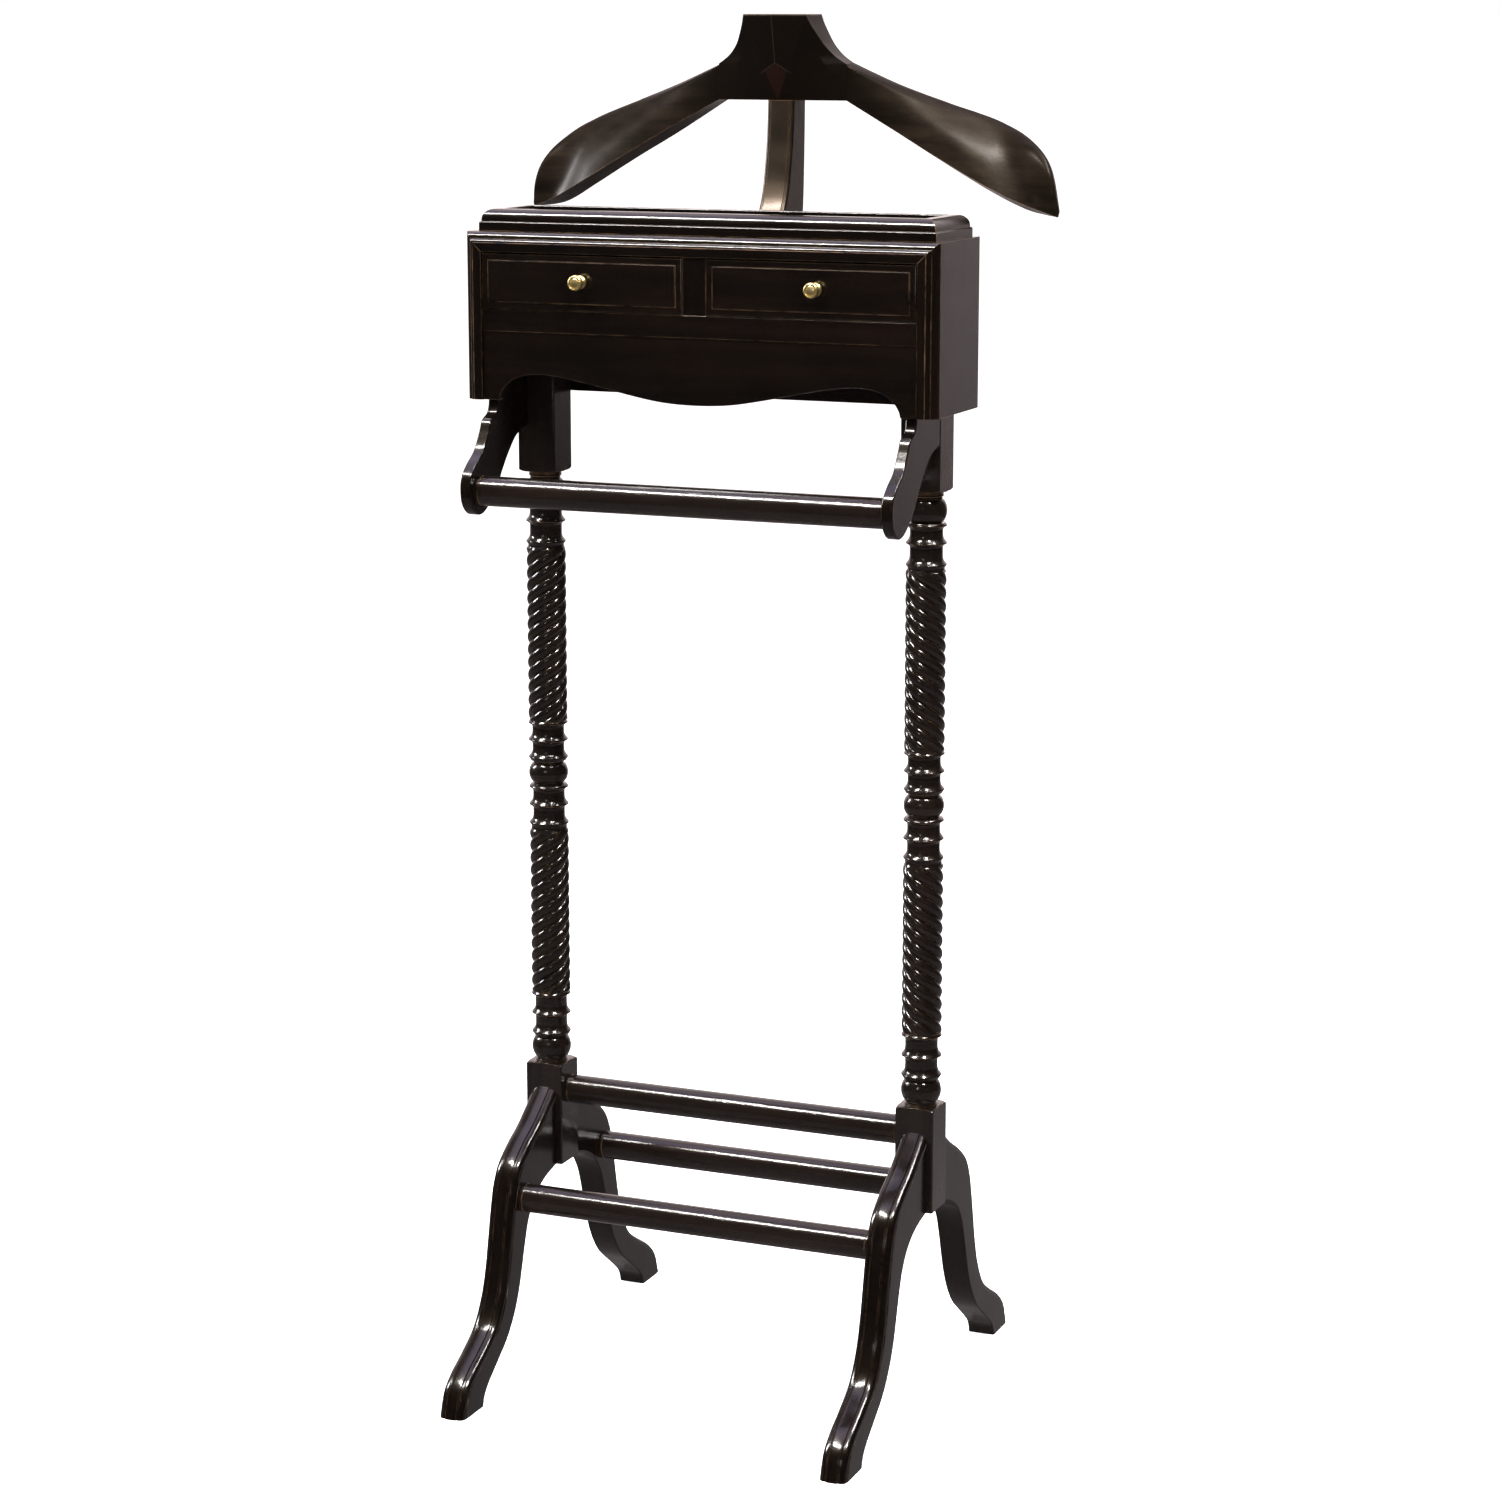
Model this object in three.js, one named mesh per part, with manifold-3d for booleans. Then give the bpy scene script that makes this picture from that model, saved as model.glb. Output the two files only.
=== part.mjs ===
// A gentleman's valet stand: a coat hanger on a swan-neck stem, a two-drawer case with an open tray,
// a trouser bar, twisted posts, sabre legs and three shoe rails.
// Millimetres, +Z up, front towards -Y, origin on the floor between the two posts.
import * as THREE from 'three';
import { mergeVertices } from 'three/addons/utils/BufferGeometryUtils.js';
import Module from 'manifold-3d';

const wasm = await Module();
wasm.setup();

// ---------------------------------------------------------------- driving dimensions
const FIT = 0.3;                    // clearance round dowels, tenons and screws
const HEAD_FIT = 0.5;               // clearance round a sunk screw head
const PAST = 1;                     // how far a cutting rod runs past the face it starts in
const POST_X = 172.5;               // post axis from the middle
const STOCK = 34;                   // square stock of the posts
const HALF = STOCK / 2;
const BLOCK_BOTTOM = 171;           // lower square block of a post
const BLOCK_TOP = 262;
const UPPER_BLOCK = 781;            // upper square block starts here
const POST_TOP = 913;
const POST_SIDES = 15;              // facets round a post, three to a strand

const LEG_THICKNESS = 24;
const LEG_FOOT_REACH = 203.5;       // toe, from the post axis
const LEG_DOWEL_Z = 208;
const POMMEL_REACH = 3;             // how far a block's corners are turned down at its shoulder

const RAIL_DIAMETER = 25;
const TENON_DIAMETER = 14;
const TENON_LENGTH = 8;
const TOP_RAIL_Z = 236.5;
const SIDE_RAIL_Z = 160.5;
const SIDE_RAIL_Y = 81;

const BRACKET_THICKNESS = 9.4;
const BAR_Y = -106;
const BAR_Z = 776;
const BAR_TENON = 6;
const BRACKET_TOP = 890;
const BRACKET_FRONT = -66;          // front edge of the part that stands inside the case

const CASE_HALF = 207.3;            // half width of the case
const CASE_BACK_Y = 23.4;
const CASE_BOTTOM = 848;
const CASE_TOP = 986.1;
const CARCASS_FRONT = -68.8;        // front edge of the side panels, behind the frame
const FRAME_FRONT = -80;
const FRAME_WIDTH = 16.5;
const TOP_BOARD_BOTTOM = 976;
const DUST_BOARD_TOP = 922.7;
const LOWER_RAIL_BOTTOM = 905;
const LOWER_RAIL_TOP = 923.2;
const MUNTIN_HALF = 10.2;
const DIVIDER_HALF = 6;
const RAIL_FACE = -77.3;
const APRON_FACE = -76.5;

const TRAY_HALF = 201;
const TRAY_FRONT = -61.4;
const TRAY_STRIP = 16;              // width of a gallery strip
const TRAY_HEIGHT = 17.5;

const DRAWER_FACE = -78.3;
const DRAWER_GAP = 0.4;             // at each side and behind the front
const DRAWER_RUN = 0.5;             // below, where it runs
const DRAWER_TOP_GAP = 0.7;
const DRAWER_REAR = 10;
const DRAWER_WALL = 8;
const DRAWER_SIDE_TOP = 958;
const DRAWER_FLOOR = 3;
const KNOB_X = { left: -100.7, right: 105.5 };
const KNOB_RISE = 1;                // the knobs sit just above the middle of the fronts
const KNOB_LENGTH = 13;

const STEM_HALF = 12;
const HANGER_TOP = 1161;
const HANGER_UNDERSIDE = 1090;
const HANGER_JOINT_X = 58;          // where an arm meets the centre block

// A dowel reaches equally far into both pieces.
const LEG_DOWEL = { radius: 4, reach: 15 };
const BRACKET_DOWEL = { radius: 3, reach: 12 };
const BRACKET_DOWEL_Z = 835;
const HANGER_DOWEL = { radius: 4, reach: 13 };
const HANGER_DOWEL_AT = [119, 1103];

const POST_SCREW = { length: 26, shank: 2, head: 4, headHeight: 3 };
const POST_SCREW_SUNK = 2;          // its head lies this far below the drawers' running surface
const STEM_SCREW = { length: 22, shank: 2, head: 4, headHeight: 2.6 };
const STEM_SCREW_Z = { upper: 898, lower: 872 };
const KNOB_SCREW_BITE = 7;          // thread inside the knob

const postOuter = POST_X + HALF;    // outer face of a post, and inner face of a side panel
const frameInner = CASE_HALF - FRAME_WIDTH;
const frameInnerTop = CASE_TOP - FRAME_WIDTH;

// ---------------------------------------------------------------- materials
const finish = (name, color, roughness, metalness = 0) => (
  new THREE.MeshStandardMaterial({ name, color, roughness, metalness }));
const mahogany = finish('mahogany', 0x2a1a14, 0.35);
const drawerWood = finish('drawer_wood', 0x6b4a33, 0.6);
const brass = finish('brass', 0xc8a552, 0.3, 1);
const steel = finish('steel', 0x9a9a9a, 0.4, 1);
const beech = finish('beech', 0xb98f62, 0.7);

const valet = new THREE.Group();

function add(name, geometry, material) {
  const mesh = new THREE.Mesh(geometry, material);
  mesh.name = name;
  valet.add(mesh);
}

// ---------------------------------------------------------------- geometry helpers
const MIRROR_X = new THREE.Matrix4().makeScale(-1, 1, 1);
const MIRROR_Y = new THREE.Matrix4().makeScale(1, -1, 1);

function positionsOnly(geometry) {
  const bare = geometry.clone();
  bare.deleteAttribute('normal');
  bare.deleteAttribute('uv');
  return mergeVertices(bare, 1e-4);
}

function signedVolume(geometry) {
  const p = geometry.attributes.position;
  const index = geometry.index.array;
  const corner = [new THREE.Vector3(), new THREE.Vector3(), new THREE.Vector3()];
  let volume = 0;
  for (let i = 0; i < index.length; i += 3) {
    corner.forEach((c, k) => c.fromBufferAttribute(p, index[i + k]));
    volume += corner[0].dot(corner[1].cross(corner[2])) / 6;
  }
  return volume;
}

// A closed mesh with merged vertices and its faces pointing out.
function closed(geometry) {
  const merged = positionsOnly(geometry);
  const source = merged.index.array;
  const p = merged.attributes.position;
  const kept = [];
  for (let i = 0; i < source.length; i += 3) {
    const [a, b, c] = [source[i], source[i + 1], source[i + 2]];
    if (a !== b && b !== c && c !== a) kept.push(a, b, c);
  }
  const result = new THREE.BufferGeometry();
  result.setAttribute('position', p);
  result.setIndex(kept);
  if (signedVolume(result) < 0) {
    for (let i = 0; i < kept.length; i += 3) [kept[i + 1], kept[i + 2]] = [kept[i + 2], kept[i + 1]];
    result.setIndex(kept);
  }
  return result;
}

function toSolid(geometry) {
  const g = closed(geometry);
  return new wasm.Manifold(new wasm.Mesh({
    numProp: 3,
    vertProperties: new Float32Array(g.attributes.position.array),
    triVerts: new Uint32Array(g.index.array),
  }));
}

function fromSolid(solid) {
  const mesh = solid.getMesh();
  const geometry = new THREE.BufferGeometry();
  geometry.setAttribute('position', new THREE.BufferAttribute(new Float32Array(mesh.vertProperties), 3));
  geometry.setIndex([...mesh.triVerts]);
  return geometry;
}

function cut(geometry, ...tools) {
  return fromSolid(tools.reduce((solid, tool) => solid.subtract(toSolid(tool)), toSolid(geometry)));
}

function join(geometry, ...others) {
  return fromSolid(others.reduce((solid, other) => solid.add(toSolid(other)), toSolid(geometry)));
}

function common(geometry, other) {
  return fromSolid(toSolid(geometry).intersect(toSolid(other)));
}

function mirrored(geometry, matrix = MIRROR_X) {
  return closed(geometry.clone().applyMatrix4(matrix));
}

// The piece on the right and its mirror image on the left.
function addPair(name, right, material) {
  add(`${name}_right`, right, material);
  add(`${name}_left`, mirrored(right), material);
}

function block(x0, x1, y0, y1, z0, z1) {
  const box = new THREE.BoxGeometry(Math.abs(x1 - x0), Math.abs(y1 - y0), Math.abs(z1 - z0));
  return closed(box.translate((x0 + x1) / 2, (y0 + y1) / 2, (z0 + z1) / 2));
}

// A rod between two heights of an axis: 'x', 'y' or 'z'. `at` holds the other two coordinates.
function rod(axis, radius, from, to, at, sides = 12) {
  const cylinder = new THREE.CylinderGeometry(radius, radius, to - from, sides);
  cylinder.translate(0, (from + to) / 2, 0);
  if (axis === 'x') cylinder.rotateZ(-Math.PI / 2).translate(0, at[0], at[1]);
  if (axis === 'y') cylinder.translate(at[0], 0, at[1]);
  if (axis === 'z') cylinder.rotateX(Math.PI / 2).translate(at[0], at[1], 0);
  return closed(cylinder);
}

// A dowel across the joint at `middle`, and the hole for it in both pieces.
function dowel(axis, { radius, reach }, middle, at) {
  return rod(axis, radius, middle - reach, middle + reach, at, 10);
}

function dowelHole(axis, { radius, reach }, middle, at) {
  return rod(axis, radius + FIT, middle - reach - FIT, middle + reach + FIT, at);
}

// The blind hole for a rail's tenon, open at x = mouth and going outwards.
function mortise(mouth, length, y, z) {
  return rod('x', TENON_DIAMETER / 2 + FIT, mouth - PAST, mouth + length + FIT, [y, z]);
}

// A plate cut to an outline of (y, z) points, from x0 to x1.
function plateX(shape, x0, x1, curveSegments = 1) {
  const plate = new THREE.ExtrudeGeometry(shape, { depth: x1 - x0, bevelEnabled: false, curveSegments });
  const axes = new THREE.Matrix4().set(0, 0, 1, x0, 1, 0, 0, 0, 0, 1, 0, 0, 0, 0, 0, 1);
  return closed(plate.applyMatrix4(axes));
}

// A plate cut to an outline of (x, z) points, from y0 to y1.
function plateY(shape, y0, y1, curveSegments = 1) {
  const plate = new THREE.ExtrudeGeometry(shape, { depth: y1 - y0, bevelEnabled: false, curveSegments });
  const axes = new THREE.Matrix4().set(1, 0, 0, 0, 0, 0, 1, y0, 0, 1, 0, 0, 0, 0, 0, 1);
  return closed(plate.applyMatrix4(axes));
}

const vectors = (pairs) => pairs.map(([a, b]) => new THREE.Vector2(a, b));

// A solid through rows of corners [x, y, z], closed by a flat cap at each end. `flatten(row)` gives the
// 2-D outline that a cap is triangulated in.
function loft(rows, flatten) {
  const n = rows[0].length;
  const last = (rows.length - 1) * n;
  const index = [];
  for (let start = 0; start < last; start += n) {
    for (let k = 0; k < n; k++) {
      const a = start + k;
      const b = start + (k + 1) % n;
      index.push(a, b, b + n, a, b + n, a + n);
    }
  }
  for (const start of [0, last]) {
    const outline = flatten(rows[start / n]);
    const sameWay = (THREE.ShapeUtils.area(outline) > 0) === (start > 0);
    for (const [a, b, c] of THREE.ShapeUtils.triangulateShape([...outline], [])) {
      index.push(start + a, start + (sameWay ? b : c), start + (sameWay ? c : b));
    }
  }
  const geometry = new THREE.BufferGeometry();
  geometry.setAttribute('position', new THREE.Float32BufferAttribute(rows.flat(2), 3));
  geometry.setIndex(index);
  return closed(geometry);
}

// ---------------------------------------------------------------- turned and twisted posts
const CREST = HALF;                 // ring crests keep the full size of the stock
const COVE = 13.8;                  // hollows between the rings
const NECK = 13;                    // grooves beside balls and twists
const STRANDS = 5;
const STRAND_PITCH = 55;            // height of one full turn of a strand
const STRAND_DEPTH = 2.6;
const STRAND_RUN_OUT = 8;
const TWIST_STEPS = 24;
const twists = [{ bottom: 324, top: 469.6 }, { bottom: 565, top: 716.4 }];

// Profile points (radius, height) of a turned stretch, from the bottom up.
const ring = (z) => [[CREST, z - 1], [CREST, z + 1]];
const cove = (z0, z1) => [[COVE, z0 + (z1 - z0) * 0.35], [COVE, z0 + (z1 - z0) * 0.65]];
const ball = (z0, z1) => [0.08, 0.3, 0.7, 0.92].map((t) => [
  NECK + (CREST - NECK) * Math.sin(Math.PI * t) ** 0.6, z0 + (z1 - z0) * t]);
const groove = (z) => [[NECK, z]];

// Rings with coves between them.
function rings(...heights) {
  return heights.flatMap((z, i) => (i ? [...cove(heights[i - 1], z), ...ring(z)] : ring(z)));
}

function twist({ bottom, top }) {
  const steps = Array.from({ length: TWIST_STEPS + 1 }, (_, i) => i / TWIST_STEPS);
  return steps.map((t) => [CREST, bottom + (top - bottom) * t]);
}

const turnedProfile = [
  [0, BLOCK_TOP - 2], [NECK + 1, BLOCK_TOP - 2], ...groove(264), ...ball(265, 284),
  ...rings(287.9, 305, 322.3), ...twist(twists[0]),
  ...rings(475.2, 491.6, 507), ...groove(510), ...ball(511, 528), ...groove(529.5),
  ...rings(533.1, 548.5, 563.4), ...twist(twists[1]),
  ...rings(720.9, 738.7, 753.3), ...groove(755), ...ball(756, 775), ...groove(777),
  [NECK + 1, UPPER_BLOCK + 2], [0, UPPER_BLOCK + 2],
];

// How far the strands have turned by a height, in radians.
function turnAt(z) {
  const climbed = twists.map(({ bottom, top }) => THREE.MathUtils.clamp(z, bottom, top) - bottom);
  return climbed.reduce((sum, height) => sum + height, 0) / STRAND_PITCH * 2 * Math.PI;
}

// How deep the grooves between the strands are at a height: they run out at both ends of a twist.
function grooveDepth(z) {
  const inside = Math.max(...twists.map(({ bottom, top }) => Math.min(z - bottom, top - z)));
  return STRAND_DEPTH * Math.sqrt(THREE.MathUtils.clamp(inside / STRAND_RUN_OUT, 0, 1));
}

// The strands of the right post lean to the left as they rise. One facet edge in three is a groove.
function turnedMiddle() {
  const lathe = new THREE.LatheGeometry(vectors(turnedProfile), POST_SIDES).rotateX(Math.PI / 2);
  const p = lathe.attributes.position;
  for (let i = 0; i < p.count; i++) {
    const z = p.getZ(i);
    const angle = Math.atan2(p.getY(i), p.getX(i));
    const grooved = Math.cos(STRANDS * angle) > 0.9;
    const radius = Math.hypot(p.getX(i), p.getY(i)) - (grooved ? grooveDepth(z) : 0);
    const turned = angle - turnAt(z);
    p.setXYZ(i, radius * Math.cos(turned), radius * Math.sin(turned), z);
  }
  return closed(lathe);
}

// A square block whose corners are turned away at one end, which leaves an arched shoulder on each face.
function pommel(z0, z1, turnedEnd) {
  const corner = HALF * Math.SQRT2 + 1;
  const top = turnedEnd === 'top';
  const far = top ? z0 : z1;
  const near = top ? z1 : z0;
  const inward = top ? -1 : 1;
  const dome = [[0, far], [corner, far], [corner, near + inward * POMMEL_REACH],
    [HALF * 1.22, near + inward * POMMEL_REACH * 0.35], [HALF * 0.97, near], [0, near]];
  const ordered = top ? dome : [...dome].reverse();
  const round = new THREE.LatheGeometry(vectors(ordered), 24).rotateX(Math.PI / 2);
  return common(block(-HALF, HALF, -HALF, HALF, z0, z1), round);
}

const bracketMiddle = postOuter - BRACKET_THICKNESS / 2;

function post() {
  const lower = pommel(BLOCK_BOTTOM, BLOCK_TOP, 'top');
  const upper = pommel(UPPER_BLOCK, POST_TOP, 'bottom');
  const whole = join(turnedMiddle(), lower, upper).translate(POST_X, 0, 0);
  return cut(
    whole,
    dowelHole('y', LEG_DOWEL, -HALF, [POST_X, LEG_DOWEL_Z]),
    dowelHole('y', LEG_DOWEL, HALF, [POST_X, LEG_DOWEL_Z]),
    mortise(POST_X - HALF, TENON_LENGTH, 0, TOP_RAIL_Z),
    dowelHole('y', BRACKET_DOWEL, -HALF, [bracketMiddle, BRACKET_DOWEL_Z]),
    rod('z', POST_SCREW.shank + FIT, POST_TOP - POST_SCREW.length, POST_TOP + PAST, [POST_X, 0], 8),
  );
}
addPair('post', post(), mahogany);

// ---------------------------------------------------------------- legs
// Outline of a leg in (distance from the post axis, height): the outer edge runs from the block down to
// the toe, and the inner edge from the heel back up to the foot of the block.
const legOuter = [[27, 232], [48, 217.5], [71, 204.5], [89, 190.5], [99, 173.5], [105, 153], [110, 131],
  [115.5, 107], [123.5, 84], [138, 62], [160, 47], [181, 35], [196, 21], [LEG_FOOT_REACH, 0]];
const legInner = [[160, 10], [151, 18.5], [134, 31], [116, 45], [103, 61], [93, 80], [86, 100],
  [80, 119], [72.5, 138], [60, 154], [41, 165], [HALF, BLOCK_BOTTOM]];

const legInside = POST_X - LEG_THICKNESS / 2;

function rearLeg() {
  const shape = new THREE.Shape();
  shape.moveTo(HALF, 242);
  shape.splineThru(vectors(legOuter));
  shape.lineTo(164, 0);
  shape.splineThru(vectors(legInner));
  return cut(
    plateX(shape, legInside, legInside + LEG_THICKNESS, 2),
    dowelHole('y', LEG_DOWEL, HALF, [POST_X, LEG_DOWEL_Z]),
    mortise(legInside, TENON_LENGTH, SIDE_RAIL_Y, SIDE_RAIL_Z),
  );
}
const rear = rearLeg();
addPair('leg_rear', rear, mahogany);
addPair('leg_front', mirrored(rear, MIRROR_Y), mahogany);
addPair('leg_dowel_rear', dowel('y', LEG_DOWEL, HALF, [POST_X, LEG_DOWEL_Z]), beech);
addPair('leg_dowel_front', dowel('y', LEG_DOWEL, -HALF, [POST_X, LEG_DOWEL_Z]), beech);

// ---------------------------------------------------------------- rails and trouser bar
// A round bar along X with a turned tenon at each end; halfSpan is where its shoulders bear.
function tenonedBar(halfSpan, tenon, y, z) {
  const r = RAIL_DIAMETER / 2;
  const t = TENON_DIAMETER / 2;
  const end = halfSpan + tenon;
  const profile = [[0, -end], [t, -end], [t, -halfSpan], [r, -halfSpan],
    [r, halfSpan], [t, halfSpan], [t, end], [0, end]];
  const lathe = new THREE.LatheGeometry(vectors(profile), 20);
  return closed(lathe.rotateZ(-Math.PI / 2).translate(0, y, z));
}

const bracketInside = postOuter - BRACKET_THICKNESS;
add('shoe_rail_top', tenonedBar(POST_X - HALF, TENON_LENGTH, 0, TOP_RAIL_Z), mahogany);
add('shoe_rail_front', tenonedBar(legInside, TENON_LENGTH, -SIDE_RAIL_Y, SIDE_RAIL_Z), mahogany);
add('shoe_rail_rear', tenonedBar(legInside, TENON_LENGTH, SIDE_RAIL_Y, SIDE_RAIL_Z), mahogany);
add('trouser_bar', tenonedBar(bracketInside, BAR_TENON, BAR_Y, BAR_Z), mahogany);

// ---------------------------------------------------------------- brackets
function bracket() {
  const shape = new THREE.Shape();
  shape.moveTo(-HALF, BRACKET_TOP);
  shape.lineTo(BRACKET_FRONT, BRACKET_TOP);
  shape.lineTo(BRACKET_FRONT, CASE_BOTTOM);
  shape.lineTo(-71, CASE_BOTTOM);
  shape.splineThru(vectors([[-75, 837.5], [-85, 832], [-91, 822], [-100, 808.5], [-114, 798.5], [-123, 789.5],
    [-125.5, 779], [-123.5, 767], [-115.5, 758.5], [-104.5, 756], [-92.5, 760.5], [-77, 772.5], [-65, 788],
    [-52.5, 802], [-37, 815], [-HALF, 821]]));
  return cut(
    plateX(shape, bracketInside, postOuter, 2),
    mortise(bracketInside, BAR_TENON, BAR_Y, BAR_Z),
    dowelHole('y', BRACKET_DOWEL, -HALF, [bracketMiddle, BRACKET_DOWEL_Z]),
  );
}
addPair('bracket', bracket(), mahogany);
addPair('bracket_dowel', dowel('y', BRACKET_DOWEL, -HALF, [bracketMiddle, BRACKET_DOWEL_Z]), beech);

// ---------------------------------------------------------------- screws
// A pan-head screw along +Z from the origin: the shank goes down, the head stands on top.
function screw({ length, shank, head, headHeight }) {
  const profile = [[0, -length], [shank * 0.4, -length], [shank, -length + shank * 1.5], [shank, 0],
    [head, 0], [head, headHeight * 0.5], [head * 0.7, headHeight], [0, headHeight]];
  return new THREE.LatheGeometry(vectors(profile), 10).rotateX(Math.PI / 2);
}

// ---------------------------------------------------------------- case
const sidePanel = block(postOuter, CASE_HALF, CARCASS_FRONT, CASE_BACK_Y, CASE_BOTTOM, CASE_TOP);
addPair('case_side', sidePanel, mahogany);

const backPanel = block(-postOuter, postOuter, HALF, CASE_BACK_Y, CASE_BOTTOM, CASE_TOP);
const backHoles = Object.values(STEM_SCREW_Z).map((z) => (
  rod('y', STEM_SCREW.shank + FIT, HALF - PAST, CASE_BACK_Y + PAST, [0, z], 8)));
add('case_back', cut(backPanel, ...backHoles), mahogany);
add('case_top', block(-postOuter, postOuter, CARCASS_FRONT, HALF, TOP_BOARD_BOTTOM, CASE_TOP), mahogany);

// The dust board lies on the posts and is screwed down into them.
const screwSeat = DUST_BOARD_TOP - POST_SCREW.headHeight - POST_SCREW_SUNK;
const postScrewHoles = [-POST_X, POST_X].flatMap((x) => [
  rod('z', POST_SCREW.head + HEAD_FIT, screwSeat, DUST_BOARD_TOP + PAST, [x, 0]),
  rod('z', POST_SCREW.shank + FIT, POST_TOP - PAST, DUST_BOARD_TOP, [x, 0], 8),
]);
const dustBoard = block(-postOuter, postOuter, CARCASS_FRONT, HALF, POST_TOP, DUST_BOARD_TOP);
add('dust_board', cut(dustBoard, ...postScrewHoles), mahogany);
addPair('post_screw', closed(screw(POST_SCREW).translate(POST_X, 0, screwSeat)), steel);
add('drawer_divider', block(
  -DIVIDER_HALF, DIVIDER_HALF, CARCASS_FRONT, HALF, DUST_BOARD_TOP, TOP_BOARD_BOTTOM), mahogany);

// Moulding of the frame, as (distance inward from the outer edge, y): a quarter round, a small step,
// a second round and a flat band that falls back a little towards the opening.
function quarter(fromX, fromY, radius, steps, sense = -1) {
  return Array.from({ length: steps + 1 }, (_, i) => {
    const a = (i / steps) * Math.PI / 2;
    return [fromX + radius * (1 - Math.cos(a)), fromY + sense * radius * Math.sin(a)];
  });
}
const OUTER_ROUND = 5;
const OUTER_ROUND_Y = -70.5;
const INNER_ROUND = 3.2;
const INNER_ROUND_Y = -76.3;
const frameProfile = [
  [0, CARCASS_FRONT], ...quarter(0, OUTER_ROUND_Y, OUTER_ROUND, 4),
  ...quarter(OUTER_ROUND, INNER_ROUND_Y, INNER_ROUND, 3), [OUTER_ROUND + INNER_ROUND, FRAME_FRONT],
  [FRAME_WIDTH - 1.5, FRAME_FRONT + 0.8], [FRAME_WIDTH, RAIL_FACE], [FRAME_WIDTH, CARCASS_FRONT]];

// A moulded strip whose section is a list of (inward, other) pairs. `place(inward, other, end)` gives the
// corner of the strip for a section point at end 0 or 1, so a mitre is an end that depends on `inward`.
function mouldedStrip(section, place) {
  const rows = [0, 1].map((end) => section.map(([inward, other]) => place(inward, other, end)));
  return loft(rows, () => vectors(section));
}

const rightStile = mouldedStrip(frameProfile, (inward, y, end) => [
  CASE_HALF - inward, y, end ? CASE_TOP - inward : CASE_BOTTOM]);
const topRail = mouldedStrip(frameProfile, (inward, y, end) => [
  (end ? 1 : -1) * (CASE_HALF - inward), y, CASE_TOP - inward]);
addPair('frame_stile', rightStile, mahogany);
add('frame_top_rail', topRail, mahogany);
add('muntin', block(
  -MUNTIN_HALF, MUNTIN_HALF, RAIL_FACE, CARCASS_FRONT, LOWER_RAIL_TOP, frameInnerTop), mahogany);
add('lower_rail', block(
  -frameInner, frameInner, RAIL_FACE, CARCASS_FRONT, LOWER_RAIL_BOTTOM, LOWER_RAIL_TOP), mahogany);

// The apron's lower edge from the middle outwards: a drop in the middle, a rise and a scooped end.
const apronEdge = [[0, 850.5], [30, 852], [60, 857], [88, 863], [115, 868], [136, 870.3], [151, 869.6],
  [163, 866], [171, 860], [175.5, 853.5], [177, CASE_BOTTOM]];

function apron() {
  const shape = new THREE.Shape();
  shape.moveTo(-frameInner, LOWER_RAIL_BOTTOM);
  shape.lineTo(-frameInner, CASE_BOTTOM);
  const left = apronEdge.slice(1).reverse().map(([x, z]) => [-x, z]);
  shape.lineTo(...left[0]);
  shape.splineThru(vectors([...left.slice(1), ...apronEdge]));
  shape.lineTo(frameInner, CASE_BOTTOM);
  shape.lineTo(frameInner, LOWER_RAIL_BOTTOM);
  return plateY(shape, APRON_FACE, CARCASS_FRONT, 2);
}
add('apron', apron(), mahogany);

// ---------------------------------------------------------------- tray gallery
// Section of a strip as (distance inward from the outer face, height above the case top).
const TRAY_BAND = 7.5;
const TRAY_STEP = 1.6;
const TRAY_ROUND = 8.5;
const trayProfile = [
  [0, 0], [0, TRAY_BAND], [TRAY_STEP, TRAY_BAND],
  ...quarter(TRAY_STEP, TRAY_HEIGHT - TRAY_ROUND, TRAY_ROUND, 4, 1),
  [TRAY_STRIP - 1, TRAY_HEIGHT], [TRAY_STRIP, TRAY_HEIGHT - 1], [TRAY_STRIP, 0]];
const trayEnd = (inward, end) => (end ? 1 : -1) * (TRAY_HALF - inward);
add('tray_front', mouldedStrip(trayProfile, (inward, h, end) => [
  trayEnd(inward, end), TRAY_FRONT + inward, CASE_TOP + h]), mahogany);
add('tray_back', mouldedStrip(trayProfile, (inward, h, end) => [
  trayEnd(inward, end), CASE_BACK_Y - inward, CASE_TOP + h]), mahogany);
const trayRight = mouldedStrip(trayProfile, (inward, h, end) => [
  TRAY_HALF - inward, end ? CASE_BACK_Y - inward : TRAY_FRONT + inward, CASE_TOP + h]);
addPair('tray', trayRight, mahogany);

// ---------------------------------------------------------------- drawers
const drawerFrontBottom = LOWER_RAIL_TOP + DRAWER_RUN;
const drawerFrontTop = frameInnerTop - DRAWER_TOP_GAP;
const drawerBackOfFront = CARCASS_FRONT - DRAWER_GAP;
const knobZ = (drawerFrontBottom + drawerFrontTop) / 2 + KNOB_RISE;
const KNOB_SCREW = {
  length: drawerBackOfFront - DRAWER_FACE + KNOB_SCREW_BITE, shank: 1.6, head: 3.4, headHeight: 2 };

function knob() {
  const profile = [[0, 0], [4.6, 0], [4.6, 1], [3.3, 2.2], [2.9, 4.6], [3.6, 7], [6, 8.4], [6.5, 9.6],
    [6.5, 10.6], [5.7, 12], [4.8, 12], [4.4, 11.4], [3.4, 11.6], [1.8, 12.4], [0, KNOB_LENGTH]];
  const turned = closed(new THREE.LatheGeometry(vectors(profile), 20));
  const threaded = rod('y', KNOB_SCREW.shank + FIT, -PAST, KNOB_SCREW_BITE + FIT, [0, 0], 8);
  return cut(turned, threaded);
}

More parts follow.
